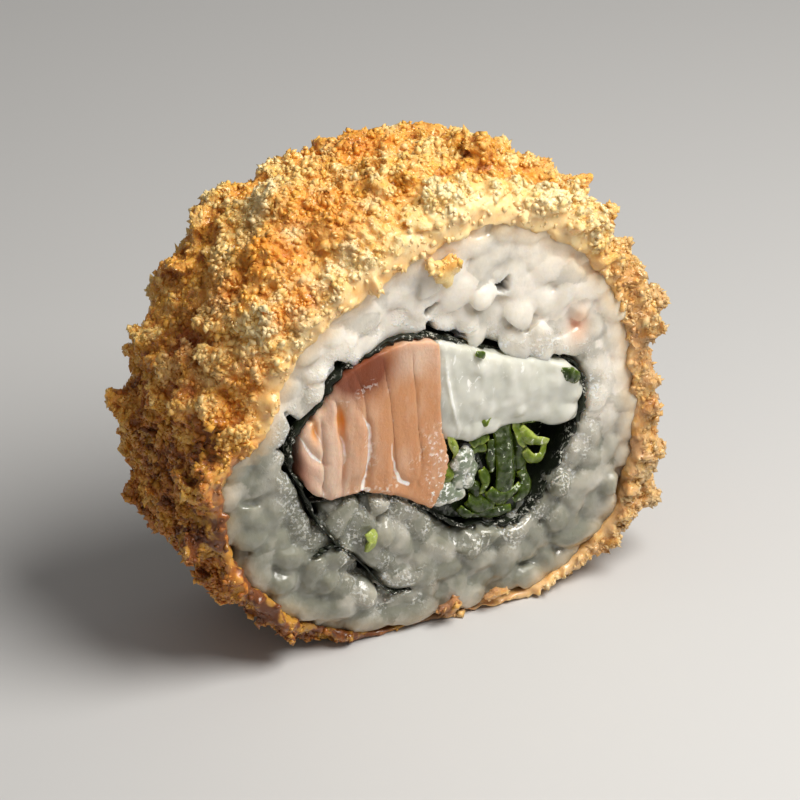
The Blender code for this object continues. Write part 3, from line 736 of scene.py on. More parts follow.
def fillingDistance(x, z):
    # from a spot on the cut to the seaweed's line, and whether it is inside the loop
    line = seaweedLine
    away = np.min(np.hypot(line[:, 0] - x, line[:, 1] - z))
    loop = line[:seaweed["loopPoints"] * seaweed["stepsToPoint"]]
    after = np.roll(loop, -1, axis=0)
    crossing = (loop[:, 1] > z) != (after[:, 1] > z)
    share = (z - loop[:, 1]) / np.where(after[:, 1] == loop[:, 1], 1, after[:, 1] - loop[:, 1])
    inside = np.sum(crossing & (x < loop[:, 0] + share * (after[:, 0] - loop[:, 0]))) % 2 == 1
    return away, inside


def grainCover(x, z):
    # how far grains may lie over the seaweed's edge
    if 3.5 < x < 13.5 and z > 23.5:
        return 0.9
    if x < -9.5 and z > 20 or x > -1:
        return 0.15
    if z < 16:
        return 0.45
    return 0.5 if z > 24 else 0.1


def grainCovers(points):
    return np.array([grainCover(x, z) for x, z in points[:, [0, 2]]])


def grainFits(ends, y, margin):
    for x, z in ends:
        away, inside = fillingDistance(x, z)
        if inside or away < margin - grainCover(x, z):
            return False
        fromX, fromZ = x - rollForm["centreX"], z - rollForm["centreZ"]
        angle = math.atan2(fromZ, fromX)
        row = int(angle / (2 * math.pi) * rollForm["wallRows"]) % rollForm["wallRows"]
        thick = 0.5 + 0.5 * math.cos(angle - 1.05)  # the coat is thickest at the upper right
        reach = innerWall[row, wallColumn(y)] - margin + (0.3 + 0.9 * thick if x > 4 else 0.35)
        if math.hypot(fromX, fromZ) > reach or z < margin + 0.4:
            return False
    return True


def grainsOn(side, layer, rng):
    low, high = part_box("rice")
    spots = np.empty((0, 2))
    places, turns, sizes = [], [], []
    for _ in range(rice["attempts"]):
        spot = np.array([rng.uniform(low.x / mm, high.x / mm), rng.uniform(low.z / mm, high.z / mm)])
        if len(spots) and np.min(np.sum((spots - spot) ** 2, axis=1)) < layer["spacing"] ** 2:
            continue
        width, length = rng.uniform(*layer["halfWidth"]), rng.uniform(*layer["halfLength"])
        y = side * rng.uniform(*layer["depth"])
        lean = rng.uniform(0.8, 1.4) if rng.random() < 0.12 else rng.normal(0, 0.25)
        if not grainFits([spot], y, width * 0.85):
            continue
        for _ in range(16):
            tilt = rng.uniform(0, math.pi)
            reach = (length - width) * abs(math.cos(lean))
            step = np.array([math.cos(tilt), math.sin(tilt)]) * reach
            if grainFits([spot - step, spot + step], y, width * 0.85):
                break
        else:
            length = width * 1.1
        # the cut is hollow above the seaweed and at the lower left
        away = fillingDistance(*spot)[0]
        recess = 1.7 * easeStep(5.2 - away, 0, 1.5) * easeStep(spot[1], 28, 30) * easeStep(spot[0], -10, -7)
        recess += 1.5 * math.exp(-((spot[0] + 15.0) / 2.2) ** 2 - ((spot[1] - 16.5) / 3.0) ** 2)
        along = np.array([math.cos(tilt) * math.cos(lean), math.sin(lean), math.sin(tilt) * math.cos(lean)])
        across = np.cross(along, np.array([0, 1.0, 0]))
        across /= np.linalg.norm(across)
        spots = np.vstack([spots, spot])
        turns.append(np.stack([along, across, np.cross(along, across)], axis=1))
        places.append((spot[0], y - side * recess, spot[1]))
        sizes.append((length, width, width * rng.uniform(0.9, 1.05)))
    print("rice grains in one layer of one cut:", len(places))
    places, turns, sizes = np.array(places), np.array(turns), np.array(sizes)
    corners, faces = icoShape(3)
    corners[:, 0] = np.sign(corners[:, 0]) * np.abs(corners[:, 0]) ** 0.85  # blunt ends
    shape = scatterLumps((corners, faces), places, turns, sizes, rng, 0.0, 5, (0.66, 0.95))
    # three spots along each grain stand for it
    reach = turns[:, :, 0] * (sizes[:, 0:1] * 0.55)
    return shape, np.concatenate([places - reach, places, places + reach])


def cleftMark(points):
    # 1 inside the clefts of the front cut, which narrow from root to tip
    inside = np.zeros(len(points))
    for rootX, rootZ, tipX, tipZ, halfWidth in rice["clefts"]:
        run = np.array([tipX - rootX, tipZ - rootZ])
        fromRoot = points[:, [0, 2]] - np.array([rootX, rootZ])
        share = np.clip(fromRoot @ run / (run @ run), 0, 1)
        away = np.linalg.norm(fromRoot - share[:, None] * run, axis=1)
        away += 0.22 * latticeNoise(points / 0.7, 6)
        inside = np.maximum(inside, easeStep(halfWidth * (1.05 - share) - away, -0.1, 0.15))
    return inside


def makeRice():
    rng = np.random.default_rng(rice["seed"])
    points, faces = nodeShape("rice")
    points[:, 1] = np.clip(points[:, 1], -rice["coreY"], rice["coreY"])
    radius, outward = aboutAxis(points)
    points += outward * (rice["coreSwell"] * easeStep(radius, 17.5, 18.5))[:, None]
    shapes, spots = [(points, faces)], []
    for side in (-1, 1):
        for layer in rice["layers"]:
            shape, layerSpots = grainsOn(side, layer, rng)
            shapes.append(shape)
            spots.append(layerSpots)
    mesh = voxelSkin(*joinShapes(shapes), rice["voxel"], rice["smoothing"])
    points, normals = pointsOf(mesh), normalsOf(mesh)
    tones = np.concatenate([np.tile(rng.random(len(layerSpots) // 3), 3) for layerSpots in spots])
    tone = nearestTone(points, np.concatenate(spots), tones)
    points = points + normals * (0.05 * latticeNoise(points / 0.9, 3))[:, None]
    # the cut is pressed flat, less so low down, and it has a groove along the seaweed
    height = np.abs(points[:, 1])
    share = rice["flattened"] + 0.24 * easeStep(22 - points[:, 2], 0, 6)
    pressed = rice["cutY"] + (height - rice["cutY"]) * share
    near = lineDistance(points)
    tail = (points[:, 2] < 15.5) & (points[:, 0] < -2)
    groove = np.where(tail, 0.4 * easeStep(0.34 - near, 0, 0.2), 0.9 * easeStep(0.55 - near, 0, 0.3))
    pressed -= groove * (grainCovers(points) < 0.5)
    points[:, 1] += np.sign(points[:, 1]) * (pressed - height) * easeStep(height, 4.9, 6.2)
    cleft = cleftMark(points) * (points[:, 1] < -4.6)
    points[:, 1] += rice["cleftDepth"] * cleft
    points[:, 2] = np.maximum(points[:, 2], 0.05)
    # no grain reaches through the coat
    over = np.maximum(0, beyondWall(points, wallColumn(points[:, 1]))) * (np.abs(points[:, 1]) < 8.0)
    points -= aboutAxis(points)[1] * over[:, None]
    setPoints(mesh, points)
    radius, outward = aboutAxis(points)
    nearCrust = easeStep(radius, 18.0, 23.5)
    setMark(mesh, "grain", tone)
    setMark(mesh, "warmth", nearCrust * easeStep(outward[:, 2] + 0.3 * outward[:, 0], -0.2, 0.9))
    setMark(mesh, "stain", easeStep(beyondWall(points), -2.2, -0.2) * nearCut(points, 5, 7))
    setMark(mesh, "peach", spotMark(points, 15.3, 29.0, 1.1, 1.8) * (points[:, 1] < 0))
    # painted shadow: the clefts are coloured near black
    setMark(mesh, "cleft", easeStep(cleft, 0.05, 0.5))
    # painted shade: darker in the creases between grains and further back from the cut
    depth = 0.45 * easeStep(8.2 - np.abs(points[:, 1]), 0.0, 2.2)
    setMark(mesh, "hollow", easeStep(hollows(mesh, 8), 0.0, 0.25) * 0.4 + depth)
    setMark(mesh, "wet", easeStep(3.6 - near, 0, 2.6) * (np.abs(points[:, 1]) > 5))
    # painted shade: greyer and darker low down, partly the wetter, clearer rice there
    setMark(mesh, "low", easeStep(30.0 - points[:, 2] - 0.25 * points[:, 0], 0, 18))
    # nobody looks at the inside, nor at the walls of grains behind the cut
    height = np.abs(points[:, 1])
    walls = (height < 7.4) & (np.abs(normalsOf(mesh)[:, 1]) < 0.3)
    return thinHidden(mesh, (height < 5.4) | walls, 0.08)


def lineDistance(points):
    # along the cut from the seaweed's line
    tree = treeOf([(x, 0, z) for x, z in seaweedLine])
    return np.array([tree.find((x, 0, z))[2] for x, y, z in points])


def riceFinish():
    finish = Finish("boiledRice")
    low = finish.mark("low")
    # the lower rice is painted greyer and darker as shade, and it darkens the creases more
    clear = finish.mark("grain") * 0.5 + 0.66 + (finish.noise(2.4, 2.0) - 0.5) * 1.1 - low * 0.92
    # painted highlight: white glints on wet beads near the seaweed
    glintBeads = finish.noise(0.32, 2.0).between(0.48, 0.62) * finish.mark("wet")
    glintBeads = glintBeads * finish.noise(2.2, 2.0).between(0.42, 0.58)
    colour = finish.layered(
        finish.blend(clear, riceLook["grey"], riceLook["white"]),
        # painted shade in the creases and recesses
        (finish.mark("hollow") * (0.35 + low * 0.4), riceLook["deep"]),
        (finish.mark("warmth") * 0.26, riceLook["warm"]),
        (finish.mark("stain") * (0.1 + finish.noise(1.6, 2.0)) * (1 - low * 0.6), riceLook["stain"]),
        (finish.mark("peach") * 0.8, riceLook["peach"]),
        (glintBeads * 0.7, riceLook["glintWhite"]),
        # painted shadow in the clefts
        (finish.mark("cleft") * 0.97, riceLook["dark"]))
    film = finish.noise(0.9, 3.0).between(0.42, 0.56)
    return finish.set(
        Base_Color=colour, Roughness=0.42 - film * 0.14 - glintBeads * 0.2, Subsurface_Weight=0.9,
        Subsurface_Radius=(1.0, 0.85, 0.65), Subsurface_Scale=1.9 * mm,
        Coat_Weight=film * 0.9 + glintBeads, Coat_Roughness=0.05,
        Normal=finish.bump(finish.noise(0.6, 3.0, 0.6) * 0.6 + glintBeads * 1.4, 0.2, 0.7))


# The rice is laid round the seaweed's line, so that line comes first.
seaweed = {
    "thickness": 0.26, "seed": 5,
    "edgeY": 8.45,
    # x and z along the sheet, from its start under the salmon round to the end of its tail
    "path": [(-12.4, 17.0), (-9.0, 17.0), (-5.6, 16.0), (-2.0, 13.7), (2.0, 10.4), (5.2, 9.5),
             (8.6, 8.9), (11.0, 10.6), (13.4, 14.2), (15.4, 18.0), (16.2, 21.2), (15.2, 24.6),
             (11.8, 26.4), (7.0, 28.0), (1.6, 30.8), (-3.4, 32.6), (-8.0, 31.8), (-10.9, 30.4),
             (-12.6, 28.0), (-15.2, 25.6), (-15.9, 22.4), (-14.7, 19.4),
             (-13.6, 16.4), (-11.6, 13.0), (-8.6, 9.6), (-6.6, 6.8), (-5.2, 5.1), (-3.0, 4.7)],
    # at each point of the path: share of the thickness, and how far the sheet draws back from the cut
    "widths": [0.6, 0.6, 0.7, 0.9, 1.1, 1.2, 1.2, 1.2, 1.3, 1.5, 1.6, 1.2, 0.6, 0.6, 1.3, 1.6, 1.7, 1.5,
               1.6, 1.7, 1.3, 0.9, 0.7, 0.6, 0.5, 0.6, 0.6, 0.5],
    "retreats": [0.2, 0.2, 0.2, 0.2, 0.2, 0.2, 0.2, 0.2, 0.1, 0, 0, 0.4, 1.2, 1.2, 0.4, 0, 0, 0, 0, 0,
                 0, 0.1, -0.1, -0.4, -0.4, -0.4, -0.4, -0.4],
    "stepsToPoint": 12,
    "loopPoints": 22,  # after so many of the path's points it passes its own start
    "startShift": (-1.6, 0.5),  # the sheet's start reaches the tail that passes it
    "across": 72,
    "wrinkle": 0.16,
    # a torn bit by the tail
    "shred": [(-13.3, 12.0), (-12.7, 12.3), (-12.1, 12.5), (-11.5, 12.3), (-11.0, 11.9)],
    "shredY": 8.75, "shredSize": (0.55, 0.35, 0.2),
}
seaweedLook = {
    "leaf": [(0.3, (0.004, 0.006, 0.003)), (0.6, (0.012, 0.018, 0.006)), (0.8, (0.04, 0.05, 0.02))],
    "starchGlint": (0.80, 0.80, 0.70),
}


def smoothPath(points, steps):
    points = np.array(points, float)
    ends = np.concatenate([[2 * points[0] - points[1]], points, [2 * points[-1] - points[-2]]])
    line = []
    for a, b, c, d in zip(ends, ends[1:], ends[2:], ends[3:]):
        for t in np.arange(steps) / steps:
            line.append(0.5 * (2 * b + (c - a) * t + (2 * a - 5 * b + 4 * c - d) * t ** 2
                               + (3 * b - a - 3 * c + d) * t ** 3))
    line.append(points[-1])
    return np.array(line)


seaweedLine = smoothPath(seaweed["path"], seaweed["stepsToPoint"])
addPiece("boiledRice", makeRice(), riceFinish(), ["rice"])


# Seaweed

def makeSeaweed():
    line = seaweedLine.copy()
    steps = seaweed["stepsToPoint"]
    line[:steps] += np.array(seaweed["startShift"]) * (1 - np.arange(steps) / steps)[:, None]
    along = unit(np.gradient(line, axis=0))
    count, across = len(line), seaweed["across"]
    yPlaces = seaweed["edgeY"] * np.sin(np.linspace(-1, 1, across) * math.pi / 2)
    grid = np.zeros((count, across, 3))
    grid[:, :, 0], grid[:, :, 2] = line[:, None, 0], line[:, None, 1]
    grid[:, :, 1] = yPlaces[None]
    flat = grid.reshape(-1, 3)
    ragged = (0.6 * latticeNoise(flat / 0.6, 11) + 0.5 * latticeNoise(flat / 2.0, 12))
    ragged = ragged.reshape(count, across)
    edge = (np.abs(yPlaces) / seaweed["edgeY"]) ** 8
    course = np.concatenate([[0], np.cumsum(np.hypot(*np.diff(line, axis=0).T))])
    drift = latticeNoise(np.stack([course / 3.2, course * 0, course * 0], axis=1), 17)
    pathPlaces, pointPlaces = np.linspace(0, 1, count), np.linspace(0, 1, len(seaweed["path"]))
    retreat = 0.5 * easeStep(drift, -0.1, 0.5) + np.interp(pathPlaces, pointPlaces, seaweed["retreats"])
    grid[:, :, 1] += (ragged - np.sign(yPlaces) * retreat[:, None]) * edge[None]
    wrinkle = seaweed["wrinkle"] * (latticeNoise(flat / 1.3, 13) + 0.6 * latticeNoise(flat / 0.5, 14))
    wrinkle = wrinkle.reshape(count, across)
    thick = seaweed["thickness"] * (0.9 + 0.7 * latticeNoise(flat / 0.9, 15)).reshape(count, across) / 2
    thick = np.maximum(0.04, thick) * np.interp(pathPlaces, pointPlaces, seaweed["widths"])[:, None]
    layers = []
    for sign in (1, -1):
        layer = grid.copy()
        shift = wrinkle + sign * thick
        layer[:, :, 0] += along[:, None, 1] * shift
        layer[:, :, 2] -= along[:, None, 0] * shift
        layers.append(layer.reshape(-1, 3))
    shapes = [(np.concatenate(layers), slabFaces(count, across))]
    rng = np.random.default_rng(seaweed["seed"])
    for side in (-1, 1):
        spots = np.array([(x, side * seaweed["shredY"], z) for x, z in seaweed["shred"]])
        sizes = np.tile(seaweed["shredSize"], (len(spots), 1)) * rng.uniform(0.8, 1.2, (len(spots), 1))
        shapes.append(scatterLumps(icoShape(2), spots, uprightTurns(len(spots)), sizes, rng, 0.2, 2))
    mesh = meshFromArrays("seaweed", *joinShapes(shapes))
    setMark(mesh, "rim", nearCut(pointsOf(mesh), 6.6, 8.2))
    return mesh


def seaweedFinish():
    finish = Finish("seaweed")
    rim = finish.mark("rim")
    # white specks along the cut edge: partly rice starch, partly painted glints
    starchGlints = finish.noise(0.34, 3.0, distortion=0.8).between(0.54, 0.60) * rim
    starchGlints = starchGlints * finish.noise(2.2, 2.0).between(0.46, 0.58)
    leaf = finish.ramp(finish.noise(1.2, 3.0), seaweedLook["leaf"])
    colour = finish.blend(starchGlints * 0.9, leaf, seaweedLook["starchGlint"])
    return finish.set(
        Base_Color=colour, Roughness=0.6 - starchGlints * 0.4, Specular_IOR_Level=0.2,
        Coat_Weight=rim * 0.5, Coat_Roughness=0.12,
        Normal=finish.bump(finish.noise(0.4, 5.0, 0.75), 0.35, 1.0))


addPiece("seaweed", makeSeaweed(), seaweedFinish(), ["nori"])


# Salmon

salmon = {
    "voxel": 0.17, "smoothing": 2, "grow": 0.22,
    # the joints between flakes on the cut: x, z and how wide and wet the joint is there
    "joints": [
        [(-10.9, 27.0, 0.3), (-10.9, 25.0, 0.6), (-10.5, 23.5, 0.8), (-10.3, 22.0, 0.8),
         (-10.7, 20.0, 0.5), (-11.0, 18.2, 0.3)],
        [(-10.1, 29.9, 0.3), (-9.5, 28.0, 0.5), (-8.6, 26.0, 0.7), (-7.8, 24.5, 1.0), (-7.6, 22.5, 1.0),
         (-7.8, 20.5, 1.1), (-8.2, 19.0, 1.7), (-8.5, 17.4, 1.6)],
        [(-5.6, 25.5, 0.1), (-5.5, 23.0, 0.3), (-5.4, 21.5, 0.8), (-5.2, 20.0, 0.9), (-4.9, 18.7, 1.1),
         (-4.5, 17.6, 1.6), (-3.6, 16.9, 1.6)],
        [(-4.6, 25.0, 0.1), (-3.9, 21.0, 0.5), (-3.5, 19.0, 0.5), (-2.9, 17.2, 0.5), (-2.2, 15.8, 0.4)],
        [(-3.2, 24.0, 0.1), (-2.5, 21.0, 0.4), (-2.1, 19.0, 0.4), (-1.7, 16.6, 0.3)],
        [(-15.0, 25.2, 0.7), (-14.2, 23.6, 1.0), (-13.3, 22.4, 1.0), (-12.4, 21.7, 0.5)],
        [(-13.7, 26.4, 0.6), (-13.2, 24.8, 0.8), (-12.6, 23.4, 0.4)],
        [(-13.4, 20.5, 0.3), (-12.6, 18.8, 0.7), (-12.4, 17.4, 0.7)],
    ],
    "grooveWidth": 0.45, "shineWidth": 0.19,
    "gaps": [(-10.8, 26.0, 0.5, 1.7), (-13.5, 25.5, 0.4, 1.2)],  # x, z, half width, half height
}
salmonLook = {
    "flesh": (0.57, 0.27, 0.125),
    "light": (0.72, 0.51, 0.38),
    "rosy": (0.52, 0.20, 0.12),
    "line": (1.0, 0.95, 0.90),
    "deep": (0.16, 0.025, 0.004),
    "gap": (0.80, 0.30, 0.03),
}


def closeness(points, line, width):
    # 1 on a line drawn on the cut, falling away over its width; a line's third value scales the width
    course = smoothPath(line, 10)
    away = np.hypot(points[:, None, 0] - course[None, :, 0], points[:, None, 2] - course[None, :, 1])
    nearest = away.argmin(axis=1)
    strength = np.maximum(course[nearest, 2], 0.01)
    away = away[np.arange(len(points)), nearest]
    return np.exp(-(away / (width * (0.35 + 0.65 * strength))) ** 2) * np.clip(strength, 0, 1.2)


def makeSalmon():
    mesh = voxelSkin(*nodeShape("salmon"), salmon["voxel"], salmon["smoothing"])
    points, normals = pointsOf(mesh), normalsOf(mesh)
    warped = points + 0.18 * wanderAt(points, 1.2, 4)
    groove = np.max([closeness(warped, joint, salmon["grooveWidth"]) for joint in salmon["joints"]], axis=0)
    shine = np.max([closeness(warped, joint, salmon["shineWidth"]) for joint in salmon["joints"]], axis=0)
    gap = np.max([spotMark(warped, *spot) for spot in salmon["gaps"]], axis=0)
    fibre = latticeNoise(points / np.array([0.5, 3, 3.2]), 9)
    lumps = latticeNoise(points / np.array([1.4, 1.6, 3.0]), 10)
    # wet at the lower right and along the bottom
    x, z = points[:, 0], points[:, 2]
    wetEdge = easeStep(x, -2.4, -0.9) * easeStep(24 - z, 0, 3) * easeStep(z, 13, 15)
    wetEdge = np.maximum(wetEdge, easeStep(19.0 - z, 0, 1.6) * easeStep(-4 - x, 0, 1) * 0.6)
    spark = latticeNoise(points / 0.38, 12)
    push = salmon["grow"] + 0.05 * fibre + 0.2 * lumps - 0.26 * groove - 0.35 * gap + 0.2 * wetEdge * spark
    points = points + normals * (push * nearCut(points, 4, 7))[:, None]
    # the cut is nearly flat high up and to the right
    calm = easeStep(points[:, 0] + 0.5 * points[:, 2], 2.0, 6.5) * nearCut(points, 8.0, 8.5) * 0.7
    points[:, 1] += calm * (np.sign(points[:, 1]) * rollForm["cutY"] - points[:, 1])
    setPoints(mesh, points)
    setMark(mesh, "line", np.clip(shine, 0, 1))
    setMark(mesh, "gap", gap)
    setMark(mesh, "wetEdge", np.clip(wetEdge * easeStep(spark, -0.1, 0.5), 0, 1))
    light = easeStep(-points[:, 0], 7.0, 13.0) + 0.9 * spotMark(points, -2.8, 30.6, 2.6, 1.6) + 0.25 * lumps
    setMark(mesh, "light", np.clip(light, 0, 1))
    setMark(mesh, "rosy", spotMark(points, -15.0, 20.3, 1.3, 2.2) + spotMark(points, -12.5, 17.0, 2.2, 0.9))
    deep = 1.9 * spotMark(points, -8.7, 30.6, 3.2, 2.3) + 0.9 * spotMark(points, -15.2, 22.0, 0.8, 2.4)
    setMark(mesh, "deep", np.clip(deep, 0, 1))
    return thinHidden(mesh, np.abs(points[:, 1]) < 7.6, 0.15)


def salmonFinish():
    finish = Finish("salmonFlesh")
    streak = finish.noise(1.0, 4.0, 0.6, where=finish.stretched((1.0, 0.4, 0.3)))
    cloud = finish.noise(2.6, 2.0, where=finish.stretched((1.0, 0.4, 0.5))) - 0.5
    light = finish.mark("light") + (streak - 0.42) * 0.9 + cloud * 1.3
    deep, wetEdge = finish.mark("deep"), finish.mark("wetEdge")
    line = finish.mark("line").between(0.4, 0.95)
    # painted highlight: white glitter along the wet edges
    paintedGlitter = finish.noise(0.42, 2.0, distortion=0.6).between(0.52, 0.58)
    paintedGlitter = paintedGlitter * (wetEdge + finish.noise(3.0, 1.0).between(0.58, 0.7) * 0.3)
    colour = finish.layered(
        finish.blend(light, salmonLook["flesh"], salmonLook["light"]),
        (finish.mark("rosy") * 0.7, salmonLook["rosy"]),
        (deep * 0.9, salmonLook["deep"]),
        (finish.mark("gap") * 0.9, salmonLook["gap"]),
        (line * 0.95, salmonLook["line"]),
        (paintedGlitter * 0.95, salmonLook["line"]))
    oil = finish.noise(0.7, 3.0).between(0.4, 0.62)
    return finish.set(
        Base_Color=colour, Roughness=0.5 - line * 0.3, Specular_IOR_Level=0.3, Subsurface_Weight=0.35,
        Subsurface_Radius=(1.0, 0.42, 0.2), Subsurface_Scale=1.2 * mm,
        Coat_Weight=oil * 0.4 + wetEdge * 0.5 + line * 0.6 - deep * 0.3, Coat_Roughness=0.1,
        Normal=finish.bump(streak * 0.6 + finish.noise(0.3, 4.0, 0.6) * 0.5, 0.18, 0.7))


addPiece("salmonFlesh", makeSalmon(), salmonFinish(), ["salmon"])


# Soft cheese

cheese = {
    "voxel": 0.17, "smoothing": 26, "smearSmoothing": 2, "grow": 0.35,
    # swellings round the edge: x, z, radius
    "swellings": [(1.4, 21.8, 1.3), (3.6, 20.9, 1.5), (5.6, 21.0, 1.4), (8.4, 21.7, 1.4),
                  (11.6, 20.6, 1.5), (13.4, 20.0, 1.7), (14.6, 21.6, 1.3), (12.6, 23.4, 1.5),
                  (9.4, 24.6, 1.5), (4.4, 27.4, 1.4)],
    "swellingY": 7.5,
    # thin smears among the greens: x, z, spread across, spread up, how many dabs
    "smears": [(1.5, 14.4, 1.3, 0.6, 6), (2.5, 17.3, 0.8, 1.4, 5), (3.3, 15.9, 0.6, 1.1, 4),
               (0.3, 13.9, 0.7, 0.5, 3)],
    # a raised line by the salmon with a painted highlight along it: x, z, strength
    "streak": [(0.6, 29.4, 0.7), (0.8, 27.0, 1.0), (1.1, 25.0, 1.0), (1.5, 23.0, 0.8), (1.9, 20.8, 0.4)],
    "seed": 4,
}
cheeseLook = {
    "grey": (0.54, 0.54, 0.47),
    "white": (0.69, 0.68, 0.61),
    "shade": (0.62, 0.64, 0.52),
    "film": (0.12, 0.16, 0.09),
    # painted highlight: white for sparkles on the smears
    "spark": (0.95, 0.96, 0.92),
    # painted highlight on the raised streak
    "ridge": (0.95, 0.94, 0.90),
    # painted highlight colour for glossy streaks
    "gloss": (0.98, 0.98, 0.95),
}


def makeCheese():
    shapes, smears = [nodeShape("cream_cheese")], []
    ball = icoShape(2)
    rng = np.random.default_rng(cheese["seed"])
    for side in (-1, 1):
        for x, z, radius in cheese["swellings"]:
            where = np.array([[x, side * cheese["swellingY"], z]])
            size = radius * rng.uniform(0.85, 1.1, (1, 3)) * np.array([1.15, 1.0, 0.85])
            shapes.append(scatterLumps(ball, where, uprightTurns(1), size, rng, 0.05))
        for x, z, across, up, count in cheese["smears"]:
            where = np.stack([rng.normal(x, across * 0.4, count), side * rng.uniform(8.2, 8.45, count),
                              rng.normal(z, up * 0.4, count)], axis=1)
            size = rng.uniform(0.5, 0.9, (count, 3)) * np.array([across, 0.45, up])
            smears.append(scatterLumps(ball, where, uprightTurns(count), size, rng, 0.12))
    body = voxelSkin(*joinShapes(shapes), cheese["voxel"], cheese["smoothing"])
    thin = voxelSkin(*joinShapes(smears), cheese["voxel"], cheese["smearSmoothing"])
    skins = [(pointsOf(skin), trianglesOf(skin)) for skin in (body, thin)]
    mesh = meshFromArrays("cheese", *joinShapes(skins))
    points, normals = pointsOf(mesh), normalsOf(mesh)
    folds = latticeNoise(points / np.array([1.3, 2.0, 2.2]), 21)
    leftFolds = np.maximum(0, latticeNoise(points / np.array([1.0, 2.0, 3.0]), 23))
    folds += 1.2 * leftFolds * easeStep(8 - points[:, 0], 0, 5)
    ridge = closeness(points, cheese["streak"], 0.26)
    push = cheese["grow"] + 0.17 * folds + 0.1 * latticeNoise(points / 1.1, 22) + 0.3 * ridge
    setPoints(mesh, points + normals * (push * nearCut(points, 4, 7))[:, None])
    setMark(mesh, "shade", easeStep(8.9 - np.abs(points[:, 1]), 0, 1.6))
    # painted highlight along the raised streak
    setMark(mesh, "ridge", ridge)
    # painted highlight: where white glossy streaks go, upper left and middle right
    gloss = spotMark(points, 2.6, 27.0, 2.6, 4.0) + 0.7 * spotMark(points, 9.5, 26.0, 2.5, 1.5)
    setMark(mesh, "gloss", gloss)
    setMark(mesh, "film", easeStep(19.6 - points[:, 2], 0, 0.8) * easeStep(12 - points[:, 0], 0, 2))
    return thinHidden(mesh, np.abs(points[:, 1]) < 7.0, 0.2)


def cheeseFinish():
    finish = Finish("softCheese")
    tint = finish.noise(3.0, 2.0).between(0.35, 0.7)
    film = finish.mark("film")
    # painted highlight: white sparkles on the thin smears
    paintedSparkles = finish.noise(0.35, 2.0).between(0.52, 0.6) * finish.noise(1.3, 1.0).between(0.4, 0.55)
    # painted highlight: white glossy streaks in the marked patches
    gloss = finish.noise(0.8, 3.0, distortion=1.2, where=finish.stretched((1.3, 0.6, 0.6)))
    colour = finish.layered(
        finish.blend(tint, cheeseLook["grey"], cheeseLook["white"]),
        (finish.mark("shade") * 0.5, cheeseLook["shade"]),
        (film * finish.noise(1.1, 2.0).between(0.35, 0.55) * 0.9, cheeseLook["film"]),
        (film * paintedSparkles * 0.9, cheeseLook["spark"]),
        # painted highlight on the streak
        (finish.mark("ridge").between(0.5, 0.9) * 0.8, cheeseLook["ridge"]),
        (gloss.between(0.60, 0.68) * finish.mark("gloss") * 0.85, cheeseLook["gloss"]))
    return finish.set(
        Base_Color=colour, Roughness=0.36, Subsurface_Weight=0.6,
        Subsurface_Radius=(1.0, 0.9, 0.7), Subsurface_Scale=1.6 * mm,
        Coat_Weight=finish.noise(1.1, 2.0).between(0.35, 0.55), Coat_Roughness=0.06,
        Normal=finish.bump(finish.noise(1.4, 2.0, 0.5), 0.12, 0.4))


addPiece("softCheese", makeCheese(), cheeseFinish(), ["cream_cheese"])


# Green onion

